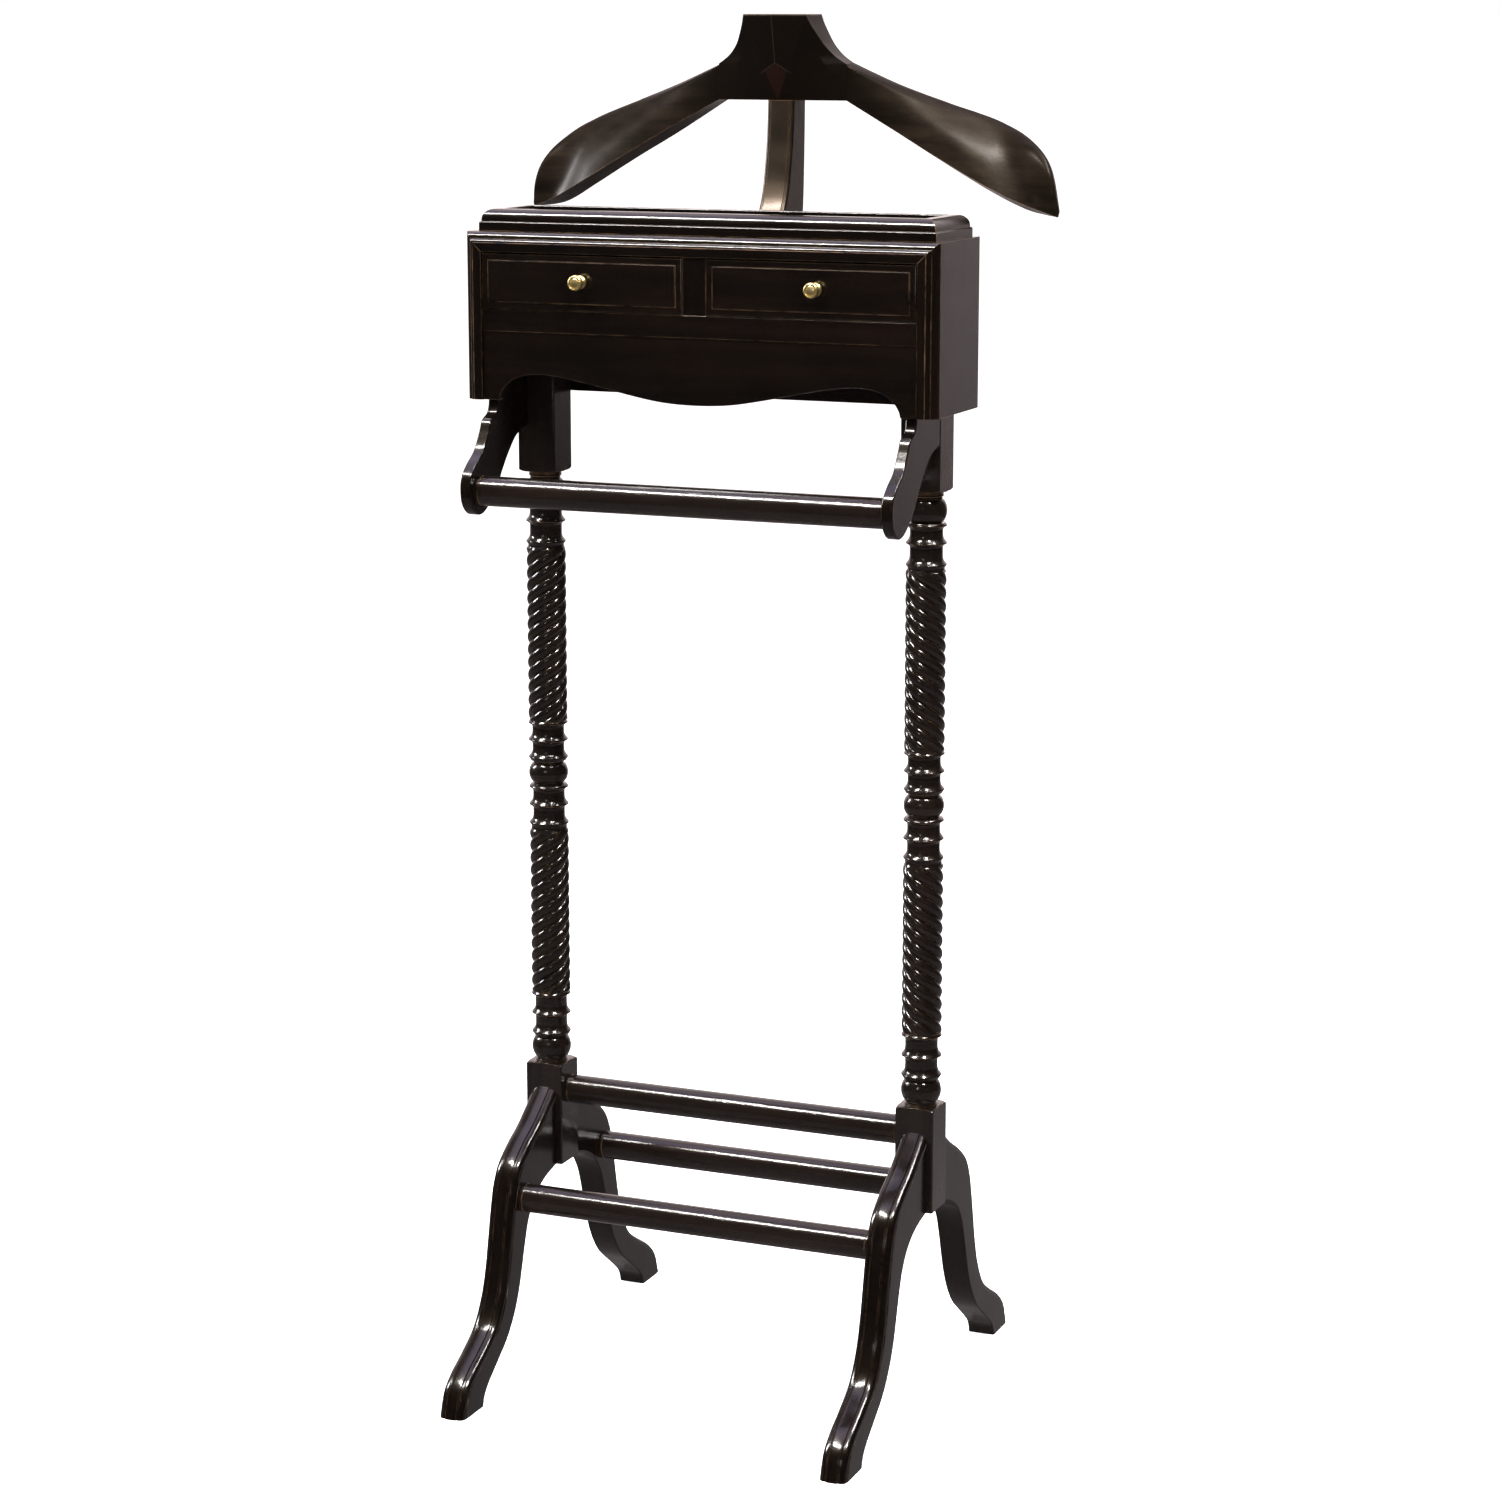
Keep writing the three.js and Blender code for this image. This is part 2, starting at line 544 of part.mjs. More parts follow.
function drawer(side) {
  const sign = side === 'right' ? 1 : -1;
  const inner = MUNTIN_HALF + DRAWER_GAP;
  const outer = frameInner - DRAWER_GAP;
  const boxInner = inner + DRAWER_GAP;
  const boxOuter = postOuter - 2 * DRAWER_GAP;
  const floorBottom = DUST_BOARD_TOP + DRAWER_RUN;
  const knobX = KNOB_X[side];
  const span = (a, b, ...rest) => block(sign * a, sign * b, ...rest);
  const name = (piece) => `drawer_${side}_${piece}`;

  const front = span(inner, outer, DRAWER_FACE, drawerBackOfFront, drawerFrontBottom, drawerFrontTop);
  const holeRadius = KNOB_SCREW.shank + FIT;
  const screwHole = rod(
    'y', holeRadius, DRAWER_FACE - PAST, drawerBackOfFront + PAST, [knobX, knobZ], 8);
  add(name('front'), cut(front, screwHole), mahogany);
  add(name('side_inner'), span(boxInner, boxInner + DRAWER_WALL, drawerBackOfFront, DRAWER_REAR,
    floorBottom, DRAWER_SIDE_TOP), drawerWood);
  add(name('side_outer'), span(boxOuter - DRAWER_WALL, boxOuter, drawerBackOfFront, DRAWER_REAR,
    floorBottom, DRAWER_SIDE_TOP), drawerWood);
  const walls = [boxInner + DRAWER_WALL, boxOuter - DRAWER_WALL];
  add(name('back'), span(...walls, DRAWER_REAR - DRAWER_WALL, DRAWER_REAR,
    floorBottom, DRAWER_SIDE_TOP), drawerWood);
  add(name('bottom'), span(...walls, drawerBackOfFront, DRAWER_REAR - DRAWER_WALL, floorBottom,
    floorBottom + DRAWER_FLOOR), drawerWood);

  const knobBody = knob().rotateX(Math.PI).translate(knobX, DRAWER_FACE, knobZ);
  add(name('knob'), closed(knobBody), brass);
  const knobScrew = screw(KNOB_SCREW).rotateX(-Math.PI / 2);
  add(name('knob_screw'), closed(knobScrew.translate(knobX, drawerBackOfFront, knobZ)), steel);
}
drawer('left');
drawer('right');

// ---------------------------------------------------------------- stem
// Side view (y, z) of the swan neck: it stands flat on the case back, sweeps out and rises to the hanger.
function stem() {
  const shape = new THREE.Shape();
  shape.moveTo(CASE_BACK_Y, 858);
  shape.lineTo(44, 858);
  shape.splineThru(vectors([[52, 872], [66, 896], [87, 922], [108, 948], [122, 974], [128, 999],
    [130.5, 1040], [132, HANGER_UNDERSIDE]]));
  shape.lineTo(104.2, HANGER_UNDERSIDE);
  shape.splineThru(vectors([[103.2, 1074], [101.4, 1057], [98.2, 1040], [93.5, 1020], [85, 1001], [69, 982],
    [47, 966], [CASE_BACK_Y, 955]]));
  const pilots = Object.values(STEM_SCREW_Z).map((z) => (
    rod('y', STEM_SCREW.shank + FIT, CASE_BACK_Y - PAST, HALF + STEM_SCREW.length + PAST, [0, z], 8)));
  return cut(plateX(shape, -STEM_HALF, STEM_HALF, 2), ...pilots);
}
add('stem', stem(), mahogany);
for (const [level, z] of Object.entries(STEM_SCREW_Z)) {
  add(`stem_screw_${level}`, closed(screw(STEM_SCREW).rotateX(Math.PI / 2).translate(0, HALF, z)), steel);
}

// ---------------------------------------------------------------- hanger
// Half width of the centre block and depth of its front corners at rising heights. The sides are hollow
// above the arms, and a flat face stands proud in front, as wide as the top and pointed at the bottom.
const centreSides = [[HANGER_UNDERSIDE, HANGER_JOINT_X, 109], [1104, HANGER_JOINT_X, 108.8],
  [1120, HANGER_JOINT_X, 108.4], [1127, 48, 107], [1136, 40, 103.6], [1146, 34.5, 98.5], [1155, 30.3, 93.5],
  [HANGER_TOP, 28.3, 91]];

// From the underside to the top: the flat face leans back and widens, and the rear leans forward.
const FACE_Y = [107, 91];
const FACE_HALF = [0.5, 27.5];
const CENTRE_REAR = [132, 127];
const { lerp } = THREE.MathUtils;

function hangerCentre() {
  const rows = centreSides.map(([z, half, corner]) => {
    const rise = (z - HANGER_UNDERSIDE) / (HANGER_TOP - HANGER_UNDERSIDE);
    const face = lerp(...FACE_Y, rise);
    const faceHalf = lerp(...FACE_HALF, rise);
    const back = lerp(...CENTRE_REAR, rise);
    return [[-half, corner, z], [-faceHalf, face, z], [faceHalf, face, z], [half, corner, z],
      [half, back, z], [-half, back, z]];
  });
  const blank = loft(rows, (row) => vectors(row.map(([x, y]) => [x, y])));
  const joints = [-HANGER_JOINT_X, HANGER_JOINT_X];
  return cut(blank, ...joints.map((x) => dowelHole('x', HANGER_DOWEL, x, HANGER_DOWEL_AT)));
}

// Long edges of the right arm from the block to the tip: each is a smooth curve, and the arm is lofted
// between them. The upper edges sweep back into a rounded shoulder.
const armEdges = [
  [[58, 109, 1090], [100, 104.7, 1067.4], [140, 103.2, 1045], [180, 105.5, 1023], [208, 113.5, 1009],
    [226, 120.5, 1001.5], [240, 122.5, 996.5]],
  [[58, 108.8, 1106], [100, 107.5, 1085], [140, 110, 1066], [180, 116, 1046], [208, 121, 1029],
    [228, 123, 1015], [240.8, 122.5, 998.5]],
  [[58, 108.4, 1118.5], [100, 113.5, 1100], [141, 124, 1084.5], [180, 131, 1068], [209, 130.5, 1051],
    [229.5, 126, 1031], [241, 123, 1001]],
  [[58, 123, 1121.5], [100, 125, 1103.7], [143, 131, 1088.5], [182, 139, 1075.5], [211.5, 137, 1060.5],
    [231.5, 130, 1038.5], [241.2, 124.5, 1002.5]],
  [[58, 131, 1118.5], [100, 135, 1099], [142, 143, 1083], [181, 150, 1067], [210.5, 148, 1050],
    [230.5, 138, 1030], [241, 126, 1001]],
  [[58, 131, 1090], [100, 124.5, 1063], [140, 122, 1040], [180, 125, 1017], [208, 133, 1002.5],
    [226, 136, 997.5], [240, 125.5, 996.5]],
].map((points) => new THREE.CatmullRomCurve3(points.map((xyz) => new THREE.Vector3(...xyz))));

const ARM_STEPS = 18;

function hangerArm() {
  const rows = Array.from({ length: ARM_STEPS + 1 }, (_, i) => (
    armEdges.map((edge) => edge.getPoint(i / ARM_STEPS).toArray())));
  const blank = loft(rows, (row) => vectors(row.map(([, y, z]) => [y, z])));
  return cut(blank, dowelHole('x', HANGER_DOWEL, HANGER_JOINT_X, HANGER_DOWEL_AT));
}
add('hanger_centre', hangerCentre(), mahogany);
addPair('hanger_arm', hangerArm(), mahogany);
addPair('hanger_dowel', dowel('x', HANGER_DOWEL, HANGER_JOINT_X, HANGER_DOWEL_AT), beech);

export default valet;
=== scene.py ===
import math

import bmesh
import bpy
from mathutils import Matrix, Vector


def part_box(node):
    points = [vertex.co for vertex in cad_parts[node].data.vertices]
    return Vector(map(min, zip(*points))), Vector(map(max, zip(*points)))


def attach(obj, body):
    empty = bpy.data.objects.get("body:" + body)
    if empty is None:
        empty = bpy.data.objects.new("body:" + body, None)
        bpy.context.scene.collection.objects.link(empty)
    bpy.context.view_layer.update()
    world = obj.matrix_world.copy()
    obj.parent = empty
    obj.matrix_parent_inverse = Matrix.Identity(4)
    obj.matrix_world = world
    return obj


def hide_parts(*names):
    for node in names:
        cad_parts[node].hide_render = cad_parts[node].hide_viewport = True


# Looks for a gentleman's clothes valet stand in dark lacquered mahogany: twisted posts, sabre legs,
# a two-drawer case with an open tray, a trouser bar, and a coat hanger on a swan-neck stem.
# Shapes are in millimetres and become metres in `piece`; the camera, the lights and the floor are in
# metres. The front faces -Y.

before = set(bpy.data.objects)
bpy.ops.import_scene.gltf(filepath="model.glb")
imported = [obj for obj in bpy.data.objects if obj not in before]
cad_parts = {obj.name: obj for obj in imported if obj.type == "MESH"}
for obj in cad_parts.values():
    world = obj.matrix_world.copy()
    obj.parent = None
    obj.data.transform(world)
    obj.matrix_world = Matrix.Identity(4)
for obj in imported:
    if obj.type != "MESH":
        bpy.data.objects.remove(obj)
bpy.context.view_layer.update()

MM = 0.001
STAND = "stand"


# ------------------------------------------------------------------ camera, light and floor
# The camera is solved from the photo's straight and level edges.
CAMERA_PLACE = (1.179, -2.766, 1.168)
CAMERA_DOWN = 11.58                 # degrees below level
CAMERA_TURN = 22.80                 # degrees turned to the left from facing straight back
CAMERA_LENS = 87.19
CAMERA_SENSOR = 36

LIGHTS_FACE = Vector((0, 0, 0.75))  # the middle of the stand
WARM = (1.0, 0.98, 0.95)
COOL = (0.94, 0.95, 1.0)
VIOLET = (0.80, 0.72, 1.0)
# Name, azimuth, elevation, distance, size across and up, watts and colour.
LIGHTS = [
    ("key_front", -38, 56, 3.2, (1.2, 0.24), 140, WARM),
    ("key_right", 50, 56, 3.2, (0.5, 0.30), 110, WARM),
    ("rear_right", 104, 60, 3.2, (0.9, 0.30), 70, WARM),
    ("key_left", -82, 20, 3.2, (0.45, 0.9), 85, COOL),
    ("low_front", 2, 10, 3.0, (0.16, 0.5), 4, WARM),
    ("ceiling", 180, 86, 3.0, (4.0, 2.4), 60, VIOLET),
]

BRIGHT_PATCH = (-157, 19)           # azimuth and elevation of the bright part of what is reflected
# The cosines of the angle from its middle between which it fades, and the strengths there.
PATCH_EDGE = {"From Min": 0.55, "From Max": 0.92, "To Min": 0.03, "To Max": 1.3}
REFLECTED_COLOUR = (1.0, 0.85, 0.84, 1)

WHITE, BLACK = (1, 1, 1), (0, 0, 0)
PALE = (0.86, 0.86, 0.87)
PINKISH = (1.0, 0.89, 0.89)
FLOOR_RADIUS = 300
FLOOR_GLOW = 0.95
REFLECTED_RADIUS = 1.7
REFLECTED_GLOW = 0.22
REFLECTED_DROP = 0.001              # how far the reflected floor lies under the white one


def direction(azimuth, elevation):
    """Unit vector from the stand towards a place. Azimuth 0 is the front, 90 is the right."""
    a = math.radians(azimuth)
    e = math.radians(elevation)
    return Vector((math.sin(a) * math.cos(e), -math.cos(a) * math.cos(e), math.sin(e)))


def make_camera():
    data = bpy.data.cameras.new("camera")
    data.lens = CAMERA_LENS
    data.sensor_width = CAMERA_SENSOR
    camera = bpy.data.objects.new("camera", data)
    camera.location = CAMERA_PLACE
    camera.rotation_euler = (math.radians(90 - CAMERA_DOWN), 0, math.radians(CAMERA_TURN))
    bpy.context.scene.collection.objects.link(camera)
    bpy.context.scene.camera = camera


def area_light(name, azimuth, elevation, distance, size, watts, colour):
    """A soft light that faces the middle of the stand."""
    data = bpy.data.lights.new(name, "AREA")
    data.shape = "RECTANGLE"
    data.size, data.size_y = size
    data.energy = watts
    data.color = colour
    light = bpy.data.objects.new(name, data)
    towards = direction(azimuth, elevation)
    light.location = LIGHTS_FACE + towards * distance
    light.rotation_euler = towards.to_track_quat("Z", "Y").to_euler()
    bpy.context.scene.collection.objects.link(light)


def make_world():
    """A plain white backdrop. What the lacquer reflects of it is dim, with a bright patch behind the
    stand."""
    world = bpy.data.worlds.new("studio")
    world.use_nodes = True
    tree = world.node_tree
    background = tree.nodes["Background"]
    backdrop = tree.nodes.new("ShaderNodeBackground")
    backdrop.inputs["Color"].default_value = (*WHITE, 1)
    seen = tree.nodes.new("ShaderNodeLightPath")
    either = tree.nodes.new("ShaderNodeMixShader")
    tree.links.new(seen.outputs["Is Camera Ray"], either.inputs[0])
    tree.links.new(background.outputs[0], either.inputs[1])
    tree.links.new(backdrop.outputs[0], either.inputs[2])
    tree.links.new(either.outputs[0], tree.nodes["World Output"].inputs["Surface"])
    background.inputs["Color"].default_value = REFLECTED_COLOUR
    place = tree.nodes.new("ShaderNodeTexCoord")
    facing = tree.nodes.new("ShaderNodeVectorMath")
    facing.operation = "DOT_PRODUCT"
    facing.inputs[1].default_value = direction(*BRIGHT_PATCH)
    shade = tree.nodes.new("ShaderNodeMapRange")
    shade.interpolation_type = "SMOOTHSTEP"
    for name, value in PATCH_EDGE.items():
        shade.inputs[name].default_value = value
    tree.links.new(place.outputs["Generated"], facing.inputs[0])
    tree.links.new(facing.outputs["Value"], shade.inputs["Value"])
    tree.links.new(shade.outputs[0], background.inputs["Strength"])
    bpy.context.scene.world = world


def make_disc(name, radius, height, colour, light, glow):
    """A round level sheet of a colour, which also gives off light."""
    bpy.ops.mesh.primitive_circle_add(
        vertices=96, radius=radius, fill_type="NGON", location=(0, 0, height))
    disc = bpy.context.object
    disc.name = name
    material = bpy.data.materials.new(name)
    material.use_nodes = True
    shader = material.node_tree.nodes["Principled BSDF"]
    shader.inputs["Base Color"].default_value = (*colour, 1)
    shader.inputs["Roughness"].default_value = 0.7
    shader.inputs["Emission Color"].default_value = (*light, 1)
    shader.inputs["Emission Strength"].default_value = glow
    disc.data.materials.append(material)
    return disc


def make_floor():
    """A white floor, and the nearer part of it that the lacquer reflects."""
    floor = make_disc("floor", FLOOR_RADIUS, 0, PALE, WHITE, FLOOR_GLOW)
    floor.visible_glossy = False
    reflected = make_disc("reflected_floor", REFLECTED_RADIUS, -REFLECTED_DROP, BLACK, PINKISH,
                          REFLECTED_GLOW)
    reflected.visible_camera = False
    reflected.visible_diffuse = False
    reflected.visible_shadow = False


bpy.context.scene.view_settings.view_transform = "Standard"
make_camera()
for light in LIGHTS:
    area_light(*light)
make_world()
make_floor()


# ------------------------------------------------------------------ materials
class Nodes:
    """A material's node tree, with short calls for adding and joining nodes."""

    def __init__(self, name):
        self.material = bpy.data.materials.new(name)
        self.material.use_nodes = True
        self.tree = self.material.node_tree
        self.shader = self.tree.nodes["Principled BSDF"]

    def add(self, kind, inputs=None, **settings):
        """Adds a node, and gives its inputs a value or a link."""
        node = self.tree.nodes.new("ShaderNode" + kind)
        for key, value in settings.items():
            setattr(node, key, value)
        for key, value in (inputs or {}).items():
            if isinstance(value, bpy.types.NodeSocket):
                self.tree.links.new(value, node.inputs[key])
            else:
                node.inputs[key].default_value = value
        return node

    def math(self, operation, a, b=0.0):
        return self.add("Math", {0: a, 1: b}, operation=operation).outputs[0]

    def noise(self, vector, scale, detail=4.0, roughness=0.55):
        """Noise with about `scale` features to the metre."""
        inputs = {"Vector": vector, "Scale": scale, "Detail": detail, "Roughness": roughness}
        return self.add("TexNoise", inputs).outputs["Fac"]

    def ramp(self, factor, *stops):
        """A straight ramp between stops of (position, grey value)."""
        node = self.add("ValToRGB", {0: factor})
        elements = node.color_ramp.elements
        while len(elements) < len(stops):
            elements.new(0.5)
        for element, (position, value) in zip(elements, stops):
            element.position = position
            element.color = (value, value, value, 1)
        return node.outputs[0]

    def mix(self, factor, a, b):
        """A mix of two colours, each an RGB value or a node's output."""
        node = self.add("Mix", data_type="RGBA")
        colours = [socket for socket in node.inputs if socket.type == "RGBA"]
        for socket, value in ((node.inputs[0], factor), (colours[0], a), (colours[1], b)):
            if isinstance(value, tuple):
                socket.default_value = (*value, 1)
            else:
                self.tree.links.new(value, socket)
        return [socket for socket in node.outputs if socket.type == "RGBA"][0]

    def link(self, output, name):
        self.tree.links.new(output, self.shader.inputs[name])

    def set(self, **values):
        for name, value in values.items():
            self.shader.inputs[name.replace("_", " ")].default_value = value


GRAIN_STRETCH = 0.06                # width of a grain feature as a share of its length
TOOL_MARK_STRETCH = 0.15            # width of a tool mark as a share of its length round the axis
EDGE_RADIUS = 0.9                   # how far from an edge the wear and the painted edge highlight reach
FLAT_BUMP, TURNED_BUMP = 0.35, 0.6  # strength of the surface's unevenness on plain and turned wood
BUMP_HEIGHT = 0.15
PORE_DEPTH = 0.25                   # depth of the pores as a share of the ripple's
HANGER_JOINT = 58                   # |x| of the glued joints between the hanger's centre and arms
JOINT_CLEAR = 2                     # no edge wear or painted edge highlight shows this close to them
LIGHTENING_LENGTH = 55                    # the wood is dark up to them, and at its lightest this far out
WEDGE = (0.020, 0.006, 0.005)       # the redder wedge in the hanger's centre
GLUE_LINE = (0.050, 0.036, 0.026)
SPECULAR_TINT = (1.0, 0.72, 0.48, 1)


def edge_mask(nodes):
    """1 on edges and mouldings, 0 on flat faces."""
    rounded = nodes.add("Bevel", {"Radius": EDGE_RADIUS * MM}, samples=6).outputs[0]
    normal = nodes.add("NewGeometry").outputs["Normal"]
    dot = nodes.add("VectorMath", {0: rounded, 1: normal}, operation="DOT_PRODUCT").outputs["Value"]
    return nodes.ramp(nodes.math("SUBTRACT", 1.0, dot), (0.01, 0.0), (0.14, 1.0))


def axis_scale(axis, along, across):
    """A scale of `along` on one axis and `across` on the other two."""
    return [along if name == axis else across for name in "xyz"]


# Finishes: the lacquer coat over the wood, and how rough and how reflective the wood under it is.
GLOSS = {"coat": 1.0, "coat_roughness": 0.13, "level": 0.06, "roughness": (0.30, 0.42)}
SATIN = {"coat": 0.10, "coat_roughness": 0.22, "level": 0.06, "roughness": (0.32, 0.42)}
RUBBED = {"coat": 0.30, "coat_roughness": 0.24, "level": 0.50, "roughness": (0.38, 0.48)}


def joint_masks(nodes, place, joint):
    """How much lighter the wood is beyond a glued joint, and where worn and painted-highlight edges
    may show.
    """
    x = nodes.math("ABSOLUTE", nodes.add("SeparateXYZ", {0: place}).outputs[0])
    lighter_outward = nodes.ramp(x, (joint * MM, 0.0), ((joint + LIGHTENING_LENGTH) * MM, 1.0))
    apart = nodes.math("ABSOLUTE", nodes.math("SUBTRACT", x, joint * MM))
    return lighter_outward, nodes.math("GREATER_THAN", apart, JOINT_CLEAR * MM)


def lacquered_wood(name, grain, dark, red, edge_wear_and_highlight, finish=GLOSS, turned=False, seams=None,
                   joint=None):
    """Stained wood under lacquer. Its edges are lighter, partly from wear and partly a painted
    highlight.
    `grain` is the axis that the wood's grain follows. Turned wood has faint tool marks round that
    axis.
    `joint` is the |x| of a glued joint: the wood is dark up to it and lighter further out, and no
    worn or painted-highlight edge shows close to it. `seams` makes the masks of glue lines and of a
    wedge of redder wood."""
    nodes = Nodes(name)
    place = nodes.add("TexCoord").outputs["Object"]
    grain_scale = axis_scale(grain, GRAIN_STRETCH, 1.0)
    along = nodes.add("Mapping", {"Vector": place, "Scale": grain_scale}).outputs[0]
    cloud = nodes.noise(place, 9.0, 3.0)
    streaks = nodes.noise(along, 95.0, 6.0, 0.62)
    pores = nodes.noise(along, 900.0, 2.0, 0.5)
    figure = nodes.ramp(streaks, (0.36, 0.0), (0.68, 1.0))
    patches = nodes.ramp(nodes.noise(place, 60.0, 5.0, 0.7), (0.36, 0.0), (0.62, 1.0))
    # Edges and mouldings are lighter in patches: partly wear, partly a painted highlight along the
    # edges.
    edge_wear_and_highlight_mask = nodes.math("MULTIPLY", edge_mask(nodes), patches)
    if joint:
        lighter_outward, clear = joint_masks(nodes, place, joint)
        figure = nodes.math("MULTIPLY", figure, lighter_outward)
        edge_wear_and_highlight_mask = nodes.math("MULTIPLY", edge_wear_and_highlight_mask, clear)
    wood = nodes.mix(figure, dark, red)
    tinted = nodes.mix(nodes.ramp(cloud, (0.40, 0.0), (0.70, 0.7)), wood, dark)
    colour = nodes.mix(edge_wear_and_highlight_mask, tinted, edge_wear_and_highlight)
    ripple = nodes.noise(place, 330.0, 4.0, 0.65)
    pits = nodes.math("MULTIPLY", nodes.ramp(pores, (0.30, 0.0), (0.46, 1.0)), PORE_DEPTH)
    height = nodes.math("ADD", ripple, pits)
    if turned:
        mark_scale = axis_scale(grain, 1.0, TOOL_MARK_STRETCH)
        marks = nodes.add("Mapping", {"Vector": place, "Scale": mark_scale}).outputs[0]
        height = nodes.math("ADD", height, nodes.noise(marks, 300.0, 3.0, 0.6))
    if seams:
        line, wedge = seams(nodes, place)
        colour = nodes.mix(wedge, colour, WEDGE)
        colour = nodes.mix(line, colour, GLUE_LINE)
        height = nodes.math("SUBTRACT", height, line)
    nodes.link(colour, "Base Color")
    strength = TURNED_BUMP if turned else FLAT_BUMP
    bump = nodes.add("Bump", {"Height": height, "Strength": strength, "Distance": BUMP_HEIGHT * MM})
    nodes.link(bump.outputs[0], "Normal")
    nodes.link(bump.outputs[0], "Coat Normal")
    smooth, rough = finish["roughness"]
    nodes.link(nodes.ramp(nodes.noise(place, 45.0, 4.0), (0.35, smooth), (0.70, rough)), "Roughness")
    nodes.set(IOR=1.5, Specular_IOR_Level=finish["level"], Specular_Tint=SPECULAR_TINT,
              Coat_Weight=finish["coat"], Coat_Roughness=finish["coat_roughness"], Coat_IOR=1.45)
    return nodes.material


DARK = (0.0014, 0.0010, 0.0008)
RED = (0.0044, 0.0024, 0.0017)
# Colours of the lighter edges: wear, and also a painted highlight along them.
EDGE_WEAR_AND_HIGHLIGHT = (0.120, 0.068, 0.031)
LEG_EDGE_WEAR_AND_HIGHLIGHT = (0.045, 0.027, 0.015)
TURNED_DARK = (0.0036, 0.0028, 0.0023)
TURNED_RED = (0.0090, 0.0055, 0.0042)
HANGER_DARK = (0.0036, 0.0025, 0.0018)
ARM_BROWN = (0.014, 0.0102, 0.0066)
CENTRE_BROWN = (0.010, 0.006, 0.004)
DRAWER_TONES = (0.075, 0.036, 0.018), (0.16, 0.082, 0.042), (0.24, 0.14, 0.075)
BEECH_TONES = (0.42, 0.27, 0.15), (0.58, 0.40, 0.24), (0.62, 0.45, 0.28)

mahogany = {
    axis: lacquered_wood(f"mahogany_{axis}", axis, DARK, RED, EDGE_WEAR_AND_HIGHLIGHT) for axis in "xyz"}
turned_mahogany = {
    axis: lacquered_wood(f"mahogany_turned_{axis}", axis, TURNED_DARK, TURNED_RED, EDGE_WEAR_AND_HIGHLIGHT, turned=True)
    for axis in "xz"}
leg_wood = lacquered_wood("mahogany_leg", "z", DARK, RED, LEG_EDGE_WEAR_AND_HIGHLIGHT)
arm_wood = lacquered_wood(
    "mahogany_arm", "x", HANGER_DARK, ARM_BROWN, EDGE_WEAR_AND_HIGHLIGHT, SATIN, joint=HANGER_JOINT)
stem_wood = lacquered_wood("mahogany_stem", "z", DARK, RED, EDGE_WEAR_AND_HIGHLIGHT, RUBBED)
drawer_wood = {
    axis: lacquered_wood(f"drawer_wood_{axis}", axis, *DRAWER_TONES, SATIN) for axis in "xyz"}
beech = lacquered_wood("beech_x", "x", *BEECH_TONES, SATIN)


def metal(name, base, shade, roughness):
    """Lightly brushed metal with a little tarnish in patches."""
    nodes = Nodes(name)
    place = nodes.add("TexCoord").outputs["Object"]
    patches = nodes.noise(place, 160.0, 5.0, 0.6)
    nodes.link(nodes.mix(nodes.ramp(patches, (0.42, 0.0), (0.75, 0.6)), base, shade), "Base Color")
    grains = nodes.noise(place, 3500.0, 2.0)
    low, high = roughness
    nodes.link(nodes.ramp(grains, (0.3, low), (0.7, high)), "Roughness")
    bump = nodes.add("Bump", {"Height": grains, "Strength": 0.12, "Distance": 0.05 * MM})
    nodes.link(bump.outputs[0], "Normal")
    nodes.set(Metallic=1.0)
    return nodes.material


brass = metal("brass", (0.85, 0.67, 0.29), (0.60, 0.44, 0.17), (0.30, 0.40))
steel = metal("steel", (0.60, 0.60, 0.61), (0.42, 0.42, 0.44), (0.28, 0.42))


# ------------------------------------------------------------------ mesh helpers
SHARP = 38                          # degrees between faces from which an edge is shaded sharp
ROUND_SIDES = 64                    # facets round the rails and the knobs


def piece(name, verts, faces, material, replaced, slot="mahogany", body=STAND, sharp=SHARP):
    """A closed piece from millimetre corners that stands for CAD nodes and rides on a body."""
    mesh = bpy.data.meshes.new(name)
    mesh.from_pydata([[c * MM for c in v] for v in verts], [], faces)
    shape = bmesh.new()
    shape.from_mesh(mesh)
    bmesh.ops.remove_doubles(shape, verts=shape.verts, dist=1e-3 * MM)
    bmesh.ops.recalc_face_normals(shape, faces=shape.faces)
    shape.to_mesh(mesh)
    shape.free()
    mesh.shade_smooth()
    mesh.set_sharp_from_angle(angle=math.radians(sharp))
    mesh.materials.append(material)
    obj = bpy.data.objects.new(name, mesh)
    bpy.context.scene.collection.objects.link(obj)
    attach(obj, body)
    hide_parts(*replaced)
    return obj


def bevel(obj, width, segments=3, angle=32):
    """Rounds the edges of a piece."""
    modifier = obj.modifiers.new("rounded_edges", "BEVEL")
    modifier.width = width * MM
    modifier.segments = segments
    modifier.limit_method = "ANGLE"
    modifier.angle_limit = math.radians(angle)
    modifier.harden_normals = True


def flatten(obj):
    """Keeps flat faces evenly shaded beside rounded ones."""
    modifier = obj.modifiers.new("flat_faces", "WEIGHTED_NORMAL")
    modifier.keep_sharp = True
    modifier.weight = 100


def loft(rows):
    """Corners and faces of a closed skin through rings of equally many points."""
    n = len(rows[0])
    faces = []
    for start in range(0, (len(rows) - 1) * n, n):
        for k in range(n):
            a = start + k
            b = start + (k + 1) % n
            faces.append((a, b, b + n, a + n))
    last = (len(rows) - 1) * n
    faces.append(tuple(reversed(range(n))))
    faces.append(tuple(range(last, last + n)))
    return [point for row in rows for point in row], faces


def mirrored(verts, axis=0):
    """The corners mirrored across the plane through the origin that is square to an axis."""
    return [tuple(-c if i == axis else c for i, c in enumerate(v)) for v in verts]


def pair(name, verts, faces, material, sharp=SHARP):
    """A piece on the right and its mirror image on the left, each standing for its own node."""
    made = []
    for side, corners in (("right", verts), ("left", mirrored(verts))):
        node = f"{name}_{side}"
        made.append(piece(f"{node}_fine", corners, faces, material, [node], sharp=sharp))
    return made


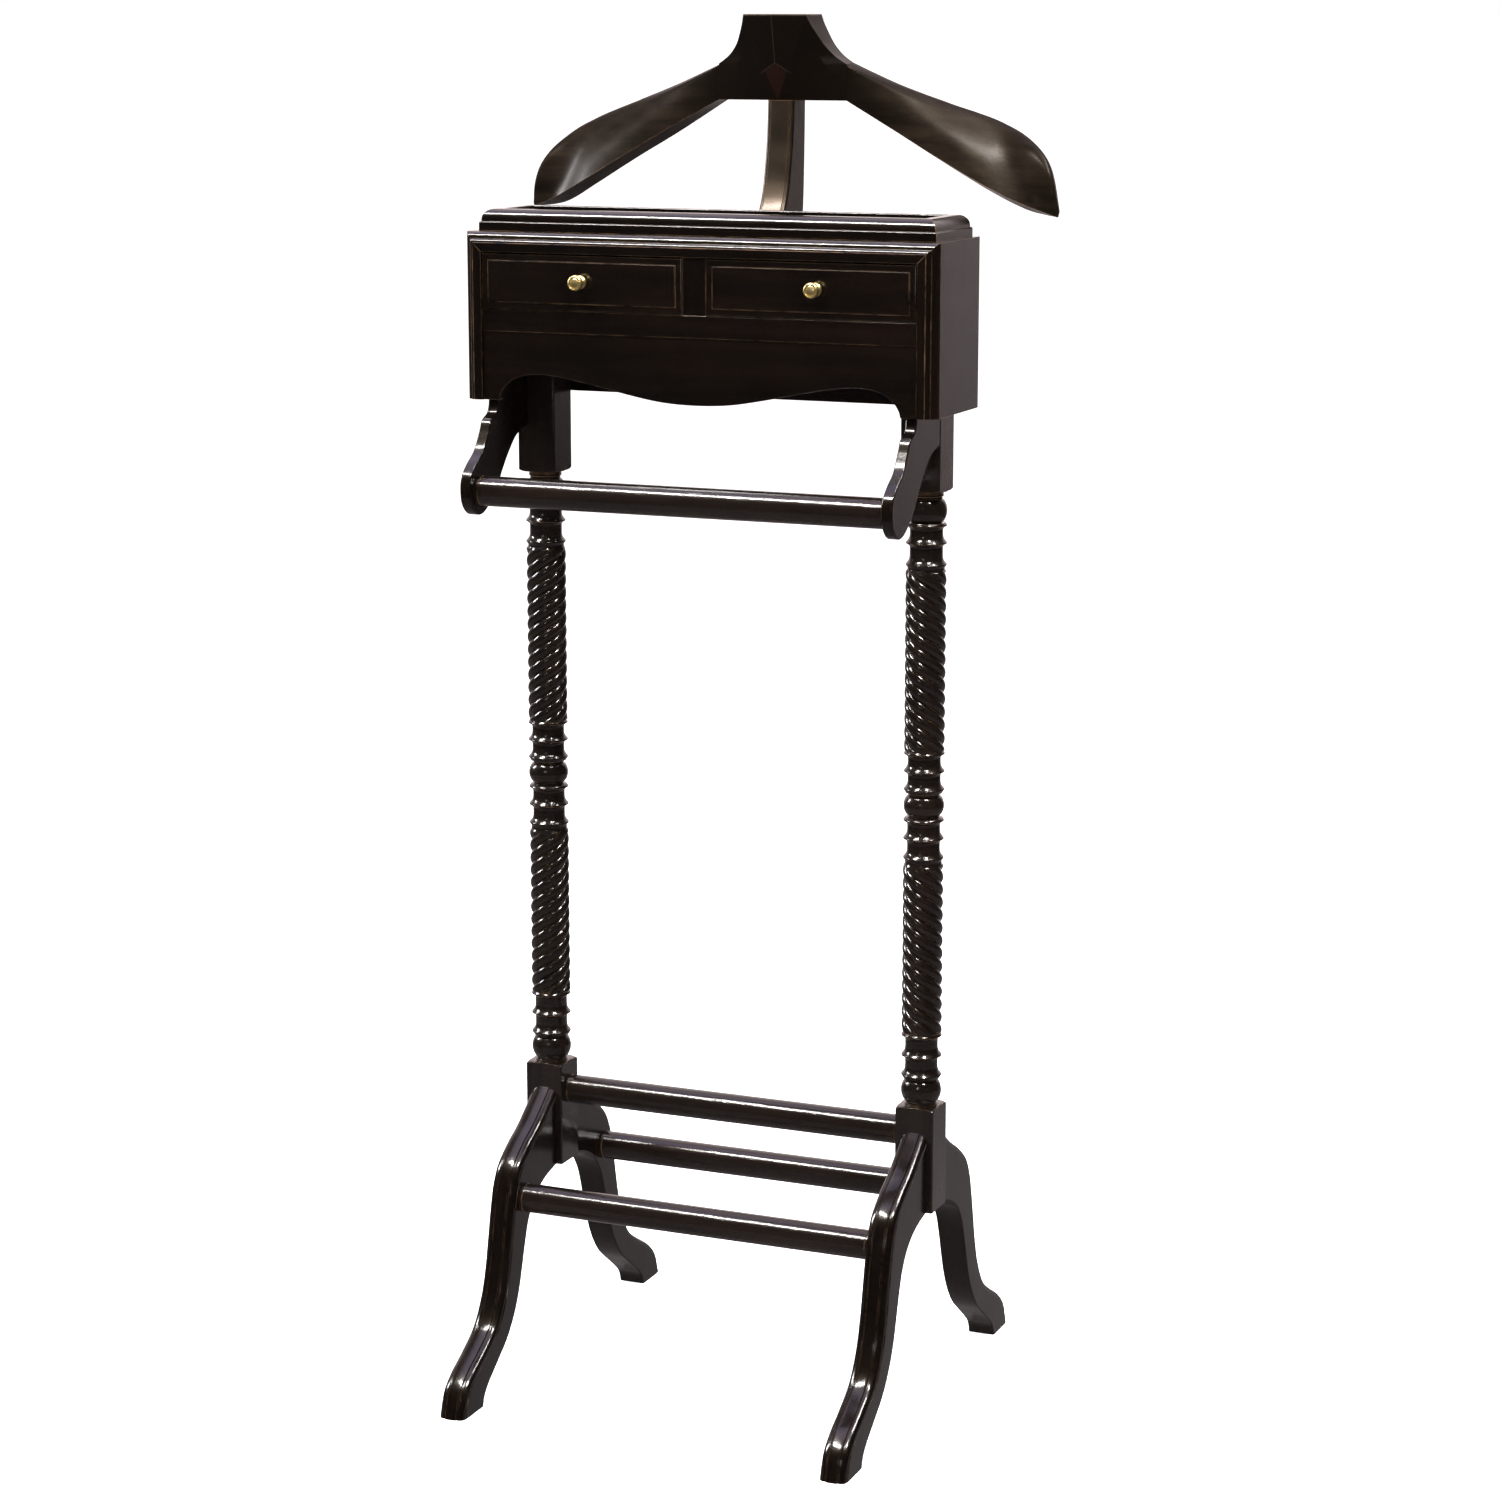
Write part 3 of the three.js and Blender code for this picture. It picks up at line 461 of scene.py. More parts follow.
def spline(points, steps):
    """A smooth curve through points of any dimension, with so many steps to each span."""
    curve = []
    last = len(points) - 1
    for i in range(last):
        p0, p1, p2, p3 = (points[j] for j in (max(i - 1, 0), i, i + 1, min(i + 2, last)))
        for s in range(steps):
            t = s / steps
            weights = (-t / 2 + t * t - t ** 3 / 2, 1 - 2.5 * t * t + 1.5 * t ** 3,
                       t / 2 + 2 * t * t - 1.5 * t ** 3, (t ** 3 - t * t) / 2)
            curve.append(tuple(
                sum(w * p[k] for w, p in zip(weights, (p0, p1, p2, p3))) for k in range(len(p1))))
    curve.append(tuple(points[-1]))
    return curve


def evenly(curve, count):
    """A curve's points at equal steps of its length."""
    lengths = [0.0]
    for a, b in zip(curve, curve[1:]):
        lengths.append(lengths[-1] + math.dist(a, b))
    result = []
    i = 0
    for step in range(count + 1):
        target = lengths[-1] * step / count
        while i < len(curve) - 2 and lengths[i + 1] < target:
            i += 1
        t = (target - lengths[i]) / max(lengths[i + 1] - lengths[i], 1e-9)
        result.append(tuple(a + (b - a) * min(t, 1) for a, b in zip(curve[i], curve[i + 1])))
    return result


def arc(centre, radius, start, end, steps):
    """Points of an arc, by angles in degrees."""
    angles = [math.radians(start + (end - start) * i / steps) for i in range(steps + 1)]
    return [(centre[0] + radius * math.cos(a), centre[1] + radius * math.sin(a)) for a in angles]


def lathe(profile, sides):
    """Rings round Z for a profile of (radius, height) that starts and ends near the axis."""
    angles = [2 * math.pi * k / sides for k in range(sides)]
    return [[(r * math.cos(a), r * math.sin(a), z) for a in angles] for r, z in profile]


# ------------------------------------------------------------------ posts
POST_X = 172.5
HALF = 17                           # half of the square stock, and the radius of ring crests
BLOCK_BOTTOM, BLOCK_TOP = 171, 262
UPPER_BLOCK, POST_TOP = 781, 913
COVE = 13.8                         # radius of the straight walls between ring crests
NECK = 13                           # radius of the grooves beside balls
COLLAR = NECK + 1                   # radius of the collars next to the blocks
POST_SIDES = 160
ARRIS = 1.3                         # rounding of the blocks' edges
END_ARRIS = 0.9                     # rounding of their outer ends
SHOULDER = 3.6                      # height over which a block's corners are turned down
TURNED_SHARE = 0.985                # radius that they are turned down to, as a share of HALF
STRANDS = 5
STRAND_PITCH = 55
STRAND_DEPTH = 2.6
STRAND_RUN_OUT = 5
TWISTS = ((324, 469.6), (565, 716.4))
TWIST_STEP = 1.3
TWIST_LIP = 1.4                     # rounding of a twist's ends


def rounded_square():
    """Points round the section of a block, as many as a turned ring has, from the middle of +X."""
    corner_steps = 8
    flat_points = (POST_SIDES // 4 - corner_steps) // 2
    flat_end = HALF - ARRIS
    up = [(HALF, flat_end * i / flat_points) for i in range(flat_points)]
    corner = arc((flat_end, flat_end), ARRIS, 0, 90, corner_steps)
    down = [(flat_end * (1 - i / flat_points), HALF) for i in range(1, flat_points + 1)]
    quadrant = up + corner + down[:-1]
    points = []
    for turn in range(4):
        c, s = ((1, 0), (0, 1), (-1, 0), (0, -1))[turn]
        points += [(x * c - y * s, x * s + y * c) for x, y in quadrant]
    return points


def block_rows(low, high, turned_end, shift):
    """Rings of a square block. Its corners are turned down to a circle at one end."""
    ring = rounded_square()
    shift %= len(ring)
    ring = ring[shift:] + ring[:shift]
    top = turned_end == "top"
    far, near, inward = (low, high, -1) if top else (high, low, 1)
    # The outer end's rounding as (share of its height, scale).
    arris = [(0.0, HALF / (HALF + END_ARRIS)), (0.3, 0.985), (1.0, 1.0)]
    outer_end = [(far - inward * END_ARRIS * share, scale) for share, scale in arris]
    rows = [(z, [(x * scale, y * scale) for x, y in ring]) for z, scale in outer_end]
    corner = HALF * math.sqrt(2)
    turned = HALF * TURNED_SHARE
    steps = 8
    for i in range(steps + 1):
        t = 1 - i / steps
        reach = turned + (corner - turned) * math.sqrt(1 - (1 - t) ** 2)
        squeezed = []
        for x, y in ring:
            squeeze = min(1.0, reach / math.hypot(x, y))
            squeezed.append((x * squeeze, y * squeeze))
        rows.append((near + inward * SHOULDER * t, squeezed))
    return rows if top else rows[::-1]


# Corners of a cove as (distance from the ring crest, share of the depth), at its foot and its head.
COVE_FOOT = [(0, 0), (1.1, 0.30), (2.2, 0.57), (3.2, 0.77), (4.2, 0.89), (5.6, 0.97), (7, 1)]
COVE_HEAD = [(3.4, 1), (2.2, 0.88), (1.0, 0.52), (0, 0)]


def cove(low, high):
    """A straight wall, as (height, radius), that flares to the crest below and turns in sharply under
    the one above."""
    corners = [(low + d, HALF - (HALF - COVE) * share) for d, share in COVE_FOOT]
    corners += [(high - d, HALF - (HALF - COVE) * share) for d, share in COVE_HEAD]
    return spline(corners, 3)


def ball(low, high):
    """A bulging ring, as (height, radius), between two grooves."""
    steps = 18
    bulge = [math.sin(math.pi * (i / steps)) ** 0.6 for i in range(steps + 1)]
    return [(low + (high - low) * i / steps, NECK + (HALF - NECK) * b) for i, b in enumerate(bulge)]


def rings(*heights):
    """Ring crests with coves between them, and a slope to a narrow groove at each end."""
    crest = 0.45
    slope = [(crest, HALF), (1.0, HALF - 0.5), (2.1, HALF - 1.3), (3.0, HALF - 1.7)]
    profile = [(heights[0] - d, r) for d, r in reversed(slope)]
    for a, b in zip(heights, heights[1:]):
        profile += cove(a + crest, b - crest)
    return profile + [(heights[-1] + d, r) for d, r in slope[:-1]]


def circle_row(z, radius, shift):
    """A ring of the turned parts, whose points are shifted round as a twist below has left them."""
    step = 2 * math.pi / POST_SIDES
    angles = [(k - shift) * step for k in range(POST_SIDES)]
    return (z, [(radius * math.cos(a), radius * math.sin(a)) for a in angles])


STRAND_WIDTH = 2 * math.pi * HALF / STRANDS
STRAND_HALF_CHORD = 0.5 * STRAND_WIDTH * math.sin(math.atan(STRAND_PITCH / STRANDS / STRAND_WIDTH))
STRAND_ROUND = (STRAND_HALF_CHORD ** 2 + STRAND_DEPTH ** 2) / (2 * STRAND_DEPTH)


def twist_rows(low, high, shift):
    """Rings of a rope twist whose points follow the strands, and the shift they have reached."""
    count = round((high - low) / TWIST_STEP)
    turns = round((high - low) / STRAND_PITCH * POST_SIDES)
    per_strand = POST_SIDES // STRANDS
    rows = []
    for i in range(count + 1):
        z = low + (high - low) * i / count
        from_end = min(z - low, high - z)
        run_out = min(1.0, from_end / STRAND_RUN_OUT)
        lip = TWIST_LIP * max(0.0, 1 - from_end / TWIST_LIP) ** 2
        turned = shift + turns * i / count
        ring = []
        for k in range(POST_SIDES):
            across = abs(2 * (k % per_strand) / per_strand - 1) * STRAND_HALF_CHORD
            dip = STRAND_ROUND - math.sqrt(STRAND_ROUND ** 2 - across ** 2)
            radius = HALF - lip - dip * math.sqrt(run_out)
            angle = (k - turned) * 2 * math.pi / POST_SIDES
            ring.append((radius * math.cos(angle), radius * math.sin(angle)))
        rows.append((z, ring))
    return rows, shift + turns


def post():
    """Rings of the right post from the bottom up. Its strands lean left as they rise."""
    groove = [(BLOCK_TOP, COLLAR), (BLOCK_TOP + 1, COLLAR), (BLOCK_TOP + 1.3, NECK)]
    below = groove + ball(265, 284) + rings(287.9, 305, 322.3)
    middle = (rings(475.2, 491.6, 507) + [(510, NECK)] + ball(511, 528) + [(529.5, NECK)]
              + rings(533.1, 548.5, 563.4))
    above = (rings(720.9, 738.7, 753.3) + [(755, NECK)] + ball(756, 775)
             + [(777, NECK), (777.3, COLLAR), (779.2, COLLAR), (779.4, NECK + 0.2), (780, COLLAR),
                (UPPER_BLOCK, COLLAR)])
    rows = block_rows(BLOCK_BOTTOM, BLOCK_TOP, "top", 0)
    rows += [circle_row(z, r, 0) for z, r in below]
    lower_twist, shift = twist_rows(*TWISTS[0], 0)
    rows += lower_twist
    rows += [circle_row(z, r, shift) for z, r in middle]
    upper_twist, shift = twist_rows(*TWISTS[1], shift)
    rows += upper_twist
    rows += [circle_row(z, r, shift) for z, r in above]
    rows += block_rows(UPPER_BLOCK, POST_TOP, "bottom", -shift)
    return [[(POST_X + x, y, z) for x, y in ring] for z, ring in rows]


pair("post", *loft(post()), turned_mahogany["z"], sharp=50)


# ------------------------------------------------------------------ moulded boards: legs and stem
BOARD_HALF = 12                     # half thickness of the legs and the stem
BOARD_ARRIS = 1.6                   # rounding of their rear edges


def bullnose():
    """Front of a leg as (x, depth): a full nose, with a groove at each side of the middle band and a
    small fillet at each edge."""
    depth = 7.5
    fullness = 2.7                  # 2 is a half ellipse, more is squarer

    def round_at(x):
        return depth * (1 - (1 - (x / BOARD_HALF) ** fullness) ** (1 / fullness))

    band = [(x, round_at(x)) for x in (0, 1, 2, 3, 3.8, 4.4, 4.8)]
    groove = [(5.0, round_at(5) + 0.6), (5.3, round_at(5.3) + 1.2), (5.8, round_at(5.8) + 1.2),
              (6.2, round_at(6.2) + 0.5)]
    shoulder = [(x, round_at(x) + 0.3) for x in (6.6, 7.2, 8, 9, 9.8, 10.4, 10.9, 11.2)]
    fillet = [(11.35, 5.6), (11.4, 6.3), (11.8, 6.4), (BOARD_HALF, 6.7)]
    right = band + groove + shoulder + fillet
    return [(-x, d) for x, d in reversed(right[1:])] + right


def flat_nose():
    """Front of the stem as (x, depth): flat, with a groove near each rounded edge."""
    right = [(0, 0), (3, 0), (6, 0.05), (8.2, 0.15), (8.6, 0.6), (8.9, 0.75), (9.2, 0.55),
             (9.8, 0.45), (10.6, 0.75), (11.3, 1.35), (11.8, 2.2), (BOARD_HALF, 3.2)]
    return [(-x, d) for x, d in reversed(right[1:])] + right


def rear_section():
    """Rear of a moulded board as (x, depth), with rounded corners."""
    corner = arc((BOARD_HALF - BOARD_ARRIS, BOARD_ARRIS), BOARD_ARRIS, 0, -90, 4)
    return corner + [(-x, d) for x, d in reversed(corner)]


def inward(curve, i, towards):
    """Unit normal of a (y, z) curve at a point, on the side of `towards`."""
    a = curve[max(i - 1, 0)]
    b = curve[min(i + 1, len(curve) - 1)]
    normal = Vector((a[1] - b[1], b[0] - a[0])).normalized()
    return normal if normal.dot(towards) > 0 else -normal


def moulded_board(front, rear, section, stations, x=0.0, flat_start=True):
    """Rings of a sawn board whose front edge is moulded. The mouldings go in square to the curves,
    and near a flat end they go in along the line from the front curve to the rear one. The last end
    is flat, and so is the first unless `flat_start` is off."""
    front = evenly(front, stations)
    rear = evenly(rear, stations)
    blend = stations // 12
    rows = []
    for i, (f, r) in enumerate(zip(front, rear)):
        across = Vector((r[0] - f[0], r[1] - f[1])).normalized()
        from_end = min(i, stations - i) if flat_start else stations - i
        squared = max(0.0, 1 - from_end / blend)
        into_front = inward(front, i, across).lerp(across, squared).normalized()
        into_rear = inward(rear, i, -across).lerp(-across, squared).normalized()
        row = [(x + sx, f[0] + into_front.x * d, f[1] + into_front.y * d) for sx, d in section]
        row += [(x + sx, r[0] + into_rear.x * d, r[1] + into_rear.y * d) for sx, d in rear_section()]
        rows.append(row)
    return rows


# Edges of a rear leg as (y, z).
LEG_OUTER = [(17, 240.5), (27, 232.6), (48, 217.5), (71, 204.5), (89, 190.5), (99, 173.5), (105, 153),
             (110, 131), (115.5, 107), (123.5, 84), (138, 62), (160, 47), (181, 35), (196, 21),
             (203.5, 0)]
LEG_INNER = [(17, 171), (41, 165), (60, 154), (72.5, 138), (80, 119), (86, 100), (93, 80), (103, 61),
             (116, 45), (134, 31), (151, 18.5), (160, 10), (164, 0)]
rear_leg, leg_faces = loft(
    moulded_board(spline(LEG_OUTER, 8), spline(LEG_INNER, 8), bullnose(), 110, POST_X, False))
for end, corners in (("rear", rear_leg), ("front", mirrored(rear_leg, 1))):
    for made in pair(f"leg_{end}", corners, leg_faces, leg_wood):
        flatten(made)

# Edges of the stem as (y, z).
STEM_FRONT = [(23.4, 955), (47, 966), (69, 982), (85, 1001), (93.5, 1020), (98.2, 1040),
              (101.4, 1057), (103.2, 1074), (104.2, 1090)]
STEM_REAR = [(44, 858), (52, 872), (66, 896), (87, 922), (108, 948), (122, 974), (128, 999),
             (130.5, 1040), (132, 1090)]
stem_rear = [(23.4, 858)] + spline(STEM_REAR, 8)
stem = loft(moulded_board(spline(STEM_FRONT, 8), stem_rear, flat_nose(), 90))
flatten(piece("stem_fine", *stem, stem_wood, ["stem"]))


# ------------------------------------------------------------------ rails and trouser bar
BRACKET_INNER, BRACKET_OUTER = 180.1, 189.5


def rail(node, half_span, y, z):
    """A round bar with a fine ring cut near each end."""
    end = [(0.01, 0.0), (11.6, 0.0), (12.3, 0.25), (12.5, 1.0), (12.5, 2.4), (12.1, 2.7), (12.1, 3.0),
           (12.5, 3.3), (12.5, 8.0)]
    profile = [(r, -half_span + d) for r, d in end] + [(r, half_span - d) for r, d in reversed(end)]
    rings_x = [[(h, y + a, z + b) for a, b, h in ring] for ring in lathe(profile, ROUND_SIDES)]
    piece(f"{node}_fine", *loft(rings_x), turned_mahogany["x"], [node])


rail("shoe_rail_top", POST_X - HALF, 0, 236.5)
rail("shoe_rail_front", POST_X - BOARD_HALF, -81, 160.5)
rail("shoe_rail_rear", POST_X - BOARD_HALF, 81, 160.5)
rail("trouser_bar", BRACKET_INNER, -106, 776)


# ------------------------------------------------------------------ sawn plates: brackets and apron
# The shaped edge of a bracket as (y, z).
BRACKET = [(-71, 848), (-75, 837.5), (-85, 832), (-91, 822), (-100, 808.5), (-114, 798.5),
           (-123, 789.5), (-125.5, 779), (-123.5, 767), (-115.5, 758.5), (-104.5, 756),
           (-92.5, 760.5), (-77, 772.5), (-65, 788), (-52.5, 802), (-37, 815), (-17, 821)]


def bracket():
    """The two brackets. Their tops go up into the case, behind the apron."""
    outline = [(-17, 890), (-66, 890), (-66, 848)] + spline(BRACKET, 6)
    rows = [[(x, y, z) for y, z in outline] for x in (BRACKET_INNER, BRACKET_OUTER)]
    for made in pair("bracket", *loft(rows), mahogany["z"]):
        bevel(made, 1.3, 4)


bracket()

CASE_BOTTOM, CASE_TOP = 848, 986.1
CARCASS_FRONT = -68.8
FRAME_INNER = 190.8
APRON_FRONT, APRON_TOP = -76.5, 905
# The right half of the apron's wavy lower edge as (x, z).
APRON_EDGE = [(0, 850.5), (30, 852), (60, 857), (88, 863), (115, 868), (136, 870.3), (151, 869.6),
              (163, 866), (171, 860), (175.5, 853.5), (177, 848)]


def apron():
    """The board under the drawers, with its wavy lower edge."""
    left = [(-x, z) for x, z in reversed(APRON_EDGE[1:])]
    outline = [(-FRAME_INNER, APRON_TOP), (-FRAME_INNER, CASE_BOTTOM)]
    outline += spline(left + APRON_EDGE, 6)
    outline += [(FRAME_INNER, CASE_BOTTOM), (FRAME_INNER, APRON_TOP)]
    rows = [[(x, y, z) for x, z in outline] for y in (APRON_FRONT, CARCASS_FRONT)]
    bevel(piece("apron_fine", *loft(rows), mahogany["x"], ["apron"]), 0.7, 3)


apron()


# ------------------------------------------------------------------ case frame and tray mouldings
FRAME_OUTER = 207.3
OUTER_ROUND = 5                     # width of the round along the frame's outer edge
ROUND_DEPTH = 1.36                  # and its depth as a multiple of that
BEAD = 2.8                          # radius of the bead inside it
# Section of the frame as (distance in from the outer edge, y).
FRAME_SECTION = ([(0, CARCASS_FRONT)]
                 + [(OUTER_ROUND - x, CARCASS_FRONT - ROUND_DEPTH * y)
                    for x, y in arc((0, 0), OUTER_ROUND, 0, 90, 10)][1:]
                 + [(5.25, -75.3), (5.6, -75.4), (5.8, -76.3)]
                 + [(8.6 - x, -76.4 - y) for x, y in arc((0, 0), BEAD, 0, 90, 6)]
                 + [(8.9, -79.6), (9.1, -79.2), (15.4, -79.0), (16.1, -78.7), (16.5, -77.9),
                    (16.5, CARCASS_FRONT)])


def moulding(node, place, mirror=False, grain="x"):
    """A mitred strip. `place` gives its section's corners at end 0 or 1."""
    rows = [place(0), place(1)]
    if mirror:
        made = pair(node, *loft(rows), mahogany[grain], sharp=30)
    else:
        made = [piece(f"{node}_fine", *loft(rows), mahogany[grain], [node], sharp=30)]
    for strip in made:
        flatten(strip)


moulding("frame_stile", lambda end: [
    (FRAME_OUTER - w, y, CASE_TOP - w if end else CASE_BOTTOM) for w, y in FRAME_SECTION],
    mirror=True, grain="z")
moulding("frame_top_rail", lambda end: [
    ((1 if end else -1) * (FRAME_OUTER - w), y, CASE_TOP - w) for w, y in FRAME_SECTION])

TRAY_OUTER, TRAY_FRONT, TRAY_REAR = 201, -61.4, 23.4
TRAY_COVE = 8.5
# Section of the tray's strips as (distance in from the outer edge, height over the case's top).
TRAY_SECTION = ([(0, 0), (0, 6.0), (0.15, 6.7), (0.5, 7.2), (1.0, 7.45), (1.5, 7.5), (1.6, 7.7)]
                + [(10.1 - x, 9 + y) for x, y in arc((0, 0), TRAY_COVE, 0, 90, 9)]
                + [(14.6, 17.5), (15.4, 17.3), (15.8, 16.9), (16, 16.2), (16, 0)])


def tray_x(w, end):
    """Where a section's corner lies at the left or right end of the strips that run along X."""
    return (1 if end else -1) * (TRAY_OUTER - w)


moulding("tray_front", lambda end: [
    (tray_x(w, end), TRAY_FRONT + w, CASE_TOP + h) for w, h in TRAY_SECTION])
moulding("tray_back", lambda end: [
    (tray_x(w, end), TRAY_REAR - w, CASE_TOP + h) for w, h in TRAY_SECTION])
moulding("tray", lambda end: [
    (TRAY_OUTER - w, TRAY_REAR - w if end else TRAY_FRONT + w, CASE_TOP + h)
    for w, h in TRAY_SECTION], mirror=True, grain="y")


# ------------------------------------------------------------------ drawers
# Front of a drawer as (inset, y): a rounded edge, a flat border, a fine groove and a rounded step up
# to the field.
DRAWER_STEPS = [(0, -69.2), (0, -76.7), (0.15, -77.4), (0.5, -77.9), (1.1, -78.15), (1.8, -78.2),
                (5.3, -78.1), (5.5, -77.9), (5.7, -77.9), (5.8, -78.5), (6.0, -78.85), (6.4, -79.05),
                (7.0, -79.1)]
KNOB_X = {"left": -100.7, "right": 105.5}
KNOB_RISE = 1                       # the knobs sit this far above the middle of their drawers
KNOB_SEAT = -78.3                   # where a knob starts, just inside the front's field
# Outline of a knob as (radius, distance out from its seat).
KNOB_PROFILE = [(0.01, 0), (5.3, 0), (5.7, 0.3), (5.8, 1.0), (5.6, 1.8), (4.9, 2.4), (3.8, 3.0),
                (3.4, 4.0), (3.5, 5.2), (4.4, 6.2), (5.6, 6.9), (6.2, 7.6), (6.5, 8.6), (6.5, 9.8),
                (6.3, 10.8), (5.9, 11.5), (5.4, 11.9), (5.0, 12.0), (4.7, 11.6), (4.5, 11.2),
                (4.1, 11.2), (3.8, 11.6), (3.4, 11.8), (1.8, 12.1), (0.01, 12.2)]


def drawer_front(side):
    """A drawer's front. Gives the height of its middle."""
    node = f"drawer_{side}_front"
    low, high = (Vector(corner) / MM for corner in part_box(node))
    rows = []
    for inset, y in DRAWER_STEPS:
        x0, x1, z0, z1 = low.x + inset, high.x - inset, low.z + inset, high.z - inset
        rows.append([(x0, y, z0), (x1, y, z0), (x1, y, z1), (x0, y, z1)])
    front = piece(
        f"{node}_fine", *loft(rows), mahogany["x"], [node], body=f"drawer_{side}", sharp=24)
    flatten(front)
    return (low.z + high.z) / 2


def knob(side, z):
    """A brass knob with a base flange and a ring groove in its face."""
    node = f"drawer_{side}_knob"
    rows = [[(KNOB_X[side] + a, KNOB_SEAT - h, z + b) for a, b, h in ring]
            for ring in lathe(KNOB_PROFILE, ROUND_SIDES)]
    piece(f"{node}_fine", *loft(rows), brass, [node], slot="brass", body=f"drawer_{side}", sharp=60)


for side in ("left", "right"):
    middle = drawer_front(side)
    knob(side, middle + KNOB_RISE)


# ------------------------------------------------------------------ hanger
HANGER_UNDERSIDE, HANGER_TOP = 1090, 1161
# Sides of the centre block as (z, half width, y of the front corners).
CENTRE_SIDES = [(HANGER_UNDERSIDE, HANGER_JOINT, 109), (1104, HANGER_JOINT, 108.8),
                (1120, HANGER_JOINT, 108.4), (1127, 48, 107), (1136, 40, 103.6), (1146, 34.5, 98.5),
                (1155, 30.3, 93.5), (HANGER_TOP, 28.3, 91)]


def hanger_centre():
    """The block between the arms, with hollow flanks and a proud pointed face."""
    sides = CENTRE_SIDES[:2] + spline(CENTRE_SIDES[2:], 5)
    rows = []
    for z, half, corner in sides:
        rise = (z - HANGER_UNDERSIDE) / (HANGER_TOP - HANGER_UNDERSIDE)
        face = 107 - 16 * rise              # y of the proud face
        face_half = 0.5 + 27 * rise         # and its half width, from a point to the full width
        back = 132 - 5 * rise
        ramp = [(half + (face_half - half) * t, corner + (face - corner) * t) for t in (0, 0.4, 0.85)]
        left = [(-x, y) for x, y in ramp] + [(-face_half, face)]
        right = [(face_half, face)] + [(x, y) for x, y in reversed(ramp)]
        outline = left + right + [(half, back), (-half, back)]
        rows.append([(x, y, z) for x, y in outline])
    made = piece("hanger_centre_fine", *loft(rows), hanger_wood, ["hanger_centre"], sharp=8)
    bevel(made, 0.9, 3, 8)


SEAM_X = -3.2                       # where the middle glue line runs
SEAM_HALF = 0.22                    # half width of the glue lines
FORK_Z = 1121                       # the middle line forks here into two that run down and outwards
FORK_SLOPE = 0.62
FORK_REACH = 14                     # how far out to each side these two run
WEDGE_SLOPE = 0.42                  # half width of the redder wedge for each mm of height
CREST_Z = 1159.7                    # over this the block's top edge is worn
LINE_STRENGTH, WEDGE_STRENGTH = 0.45, 0.35


def hanger_seams(nodes, place):
    """Masks of the centre block's glue lines, with the worn top edge, and of the redder wedge under
    the fork."""
    xyz = nodes.add("SeparateXYZ", {0: place})
    x = nodes.math("ABSOLUTE", nodes.math("SUBTRACT", xyz.outputs[0], SEAM_X * MM))
    z = xyz.outputs[2]
    roof = nodes.math("SUBTRACT", FORK_Z * MM, nodes.math("MULTIPLY", x, FORK_SLOPE))
    above = nodes.math("GREATER_THAN", z, roof)
    middle = nodes.math("MULTIPLY", nodes.math("LESS_THAN", x, SEAM_HALF * MM), above)
    off_roof = nodes.math("ABSOLUTE", nodes.math("SUBTRACT", z, roof))
    near = nodes.math("LESS_THAN", x, FORK_REACH * MM)
    sides = nodes.math("MULTIPLY", nodes.math("LESS_THAN", off_roof, SEAM_HALF * MM), near)
    patches = nodes.ramp(nodes.noise(place, 120.0, 4.0), (0.35, 0.3), (0.55, 1.8))
    crest = nodes.math("MULTIPLY", nodes.math("GREATER_THAN", z, CREST_Z * MM), patches)
    line = nodes.math("MAXIMUM", nodes.math("MAXIMUM", middle, sides), crest)
    rise = nodes.math("SUBTRACT", z, HANGER_UNDERSIDE * MM)
    inside = nodes.math("SUBTRACT", nodes.math("MULTIPLY", rise, WEDGE_SLOPE), x)
    below = nodes.math("SUBTRACT", 1.0, above)
    wedge = nodes.math("MULTIPLY", nodes.math("GREATER_THAN", inside, 0.0), below)
    return (nodes.math("MULTIPLY", line, LINE_STRENGTH),
            nodes.math("MULTIPLY", wedge, WEDGE_STRENGTH))


hanger_wood = lacquered_wood("mahogany_hanger", "x", HANGER_DARK, CENTRE_BROWN, EDGE_WEAR_AND_HIGHLIGHT, SATIN,
                             seams=hanger_seams, joint=HANGER_JOINT)
hanger_centre()

# Long edges of the right arm as (x, y, z) from the block to the tip: front lower, front middle,
# crease, top, rear upper and rear lower.
ARM_EDGES = [
    [(HANGER_JOINT, 109, 1090), (100, 104.7, 1067.4), (140, 103.2, 1045), (180, 105.5, 1023),
     (208, 113.5, 1009), (226, 120.5, 1001.5), (240, 122.5, 996.5)],
    [(HANGER_JOINT, 108.8, 1106), (100, 107.5, 1085), (140, 110, 1066), (180, 116, 1046),
     (208, 121, 1029), (235, 119.5, 1015), (240.8, 122.5, 998.5)],
    [(HANGER_JOINT, 108.4, 1118.5), (100, 113.5, 1100), (141, 124, 1084.5), (180, 131, 1068),
     (210, 128.5, 1051), (234, 121, 1031), (241, 123, 1001)],
    [(HANGER_JOINT, 123, 1121.5), (100, 125, 1103.7), (143, 131, 1088.5), (182, 139, 1075.5),
     (211.5, 137, 1060.5), (231.5, 130, 1038.5), (241.2, 124.5, 1002.5)],
    [(HANGER_JOINT, 131, 1118.5), (100, 135, 1099), (142, 143, 1083), (181, 150, 1067),
     (210.5, 148, 1050), (230.5, 138, 1030), (241, 126, 1001)],
    [(HANGER_JOINT, 131, 1090), (100, 124.5, 1063), (140, 122, 1040), (180, 125, 1017),
     (208, 133, 1002.5), (226, 136, 997.5), (240, 125.5, 996.5)],
]
ARM_EASING = 7                      # averaging passes that round the crease at the outer end
EASING_ROWS = 40                    # rows from the block over which they come in


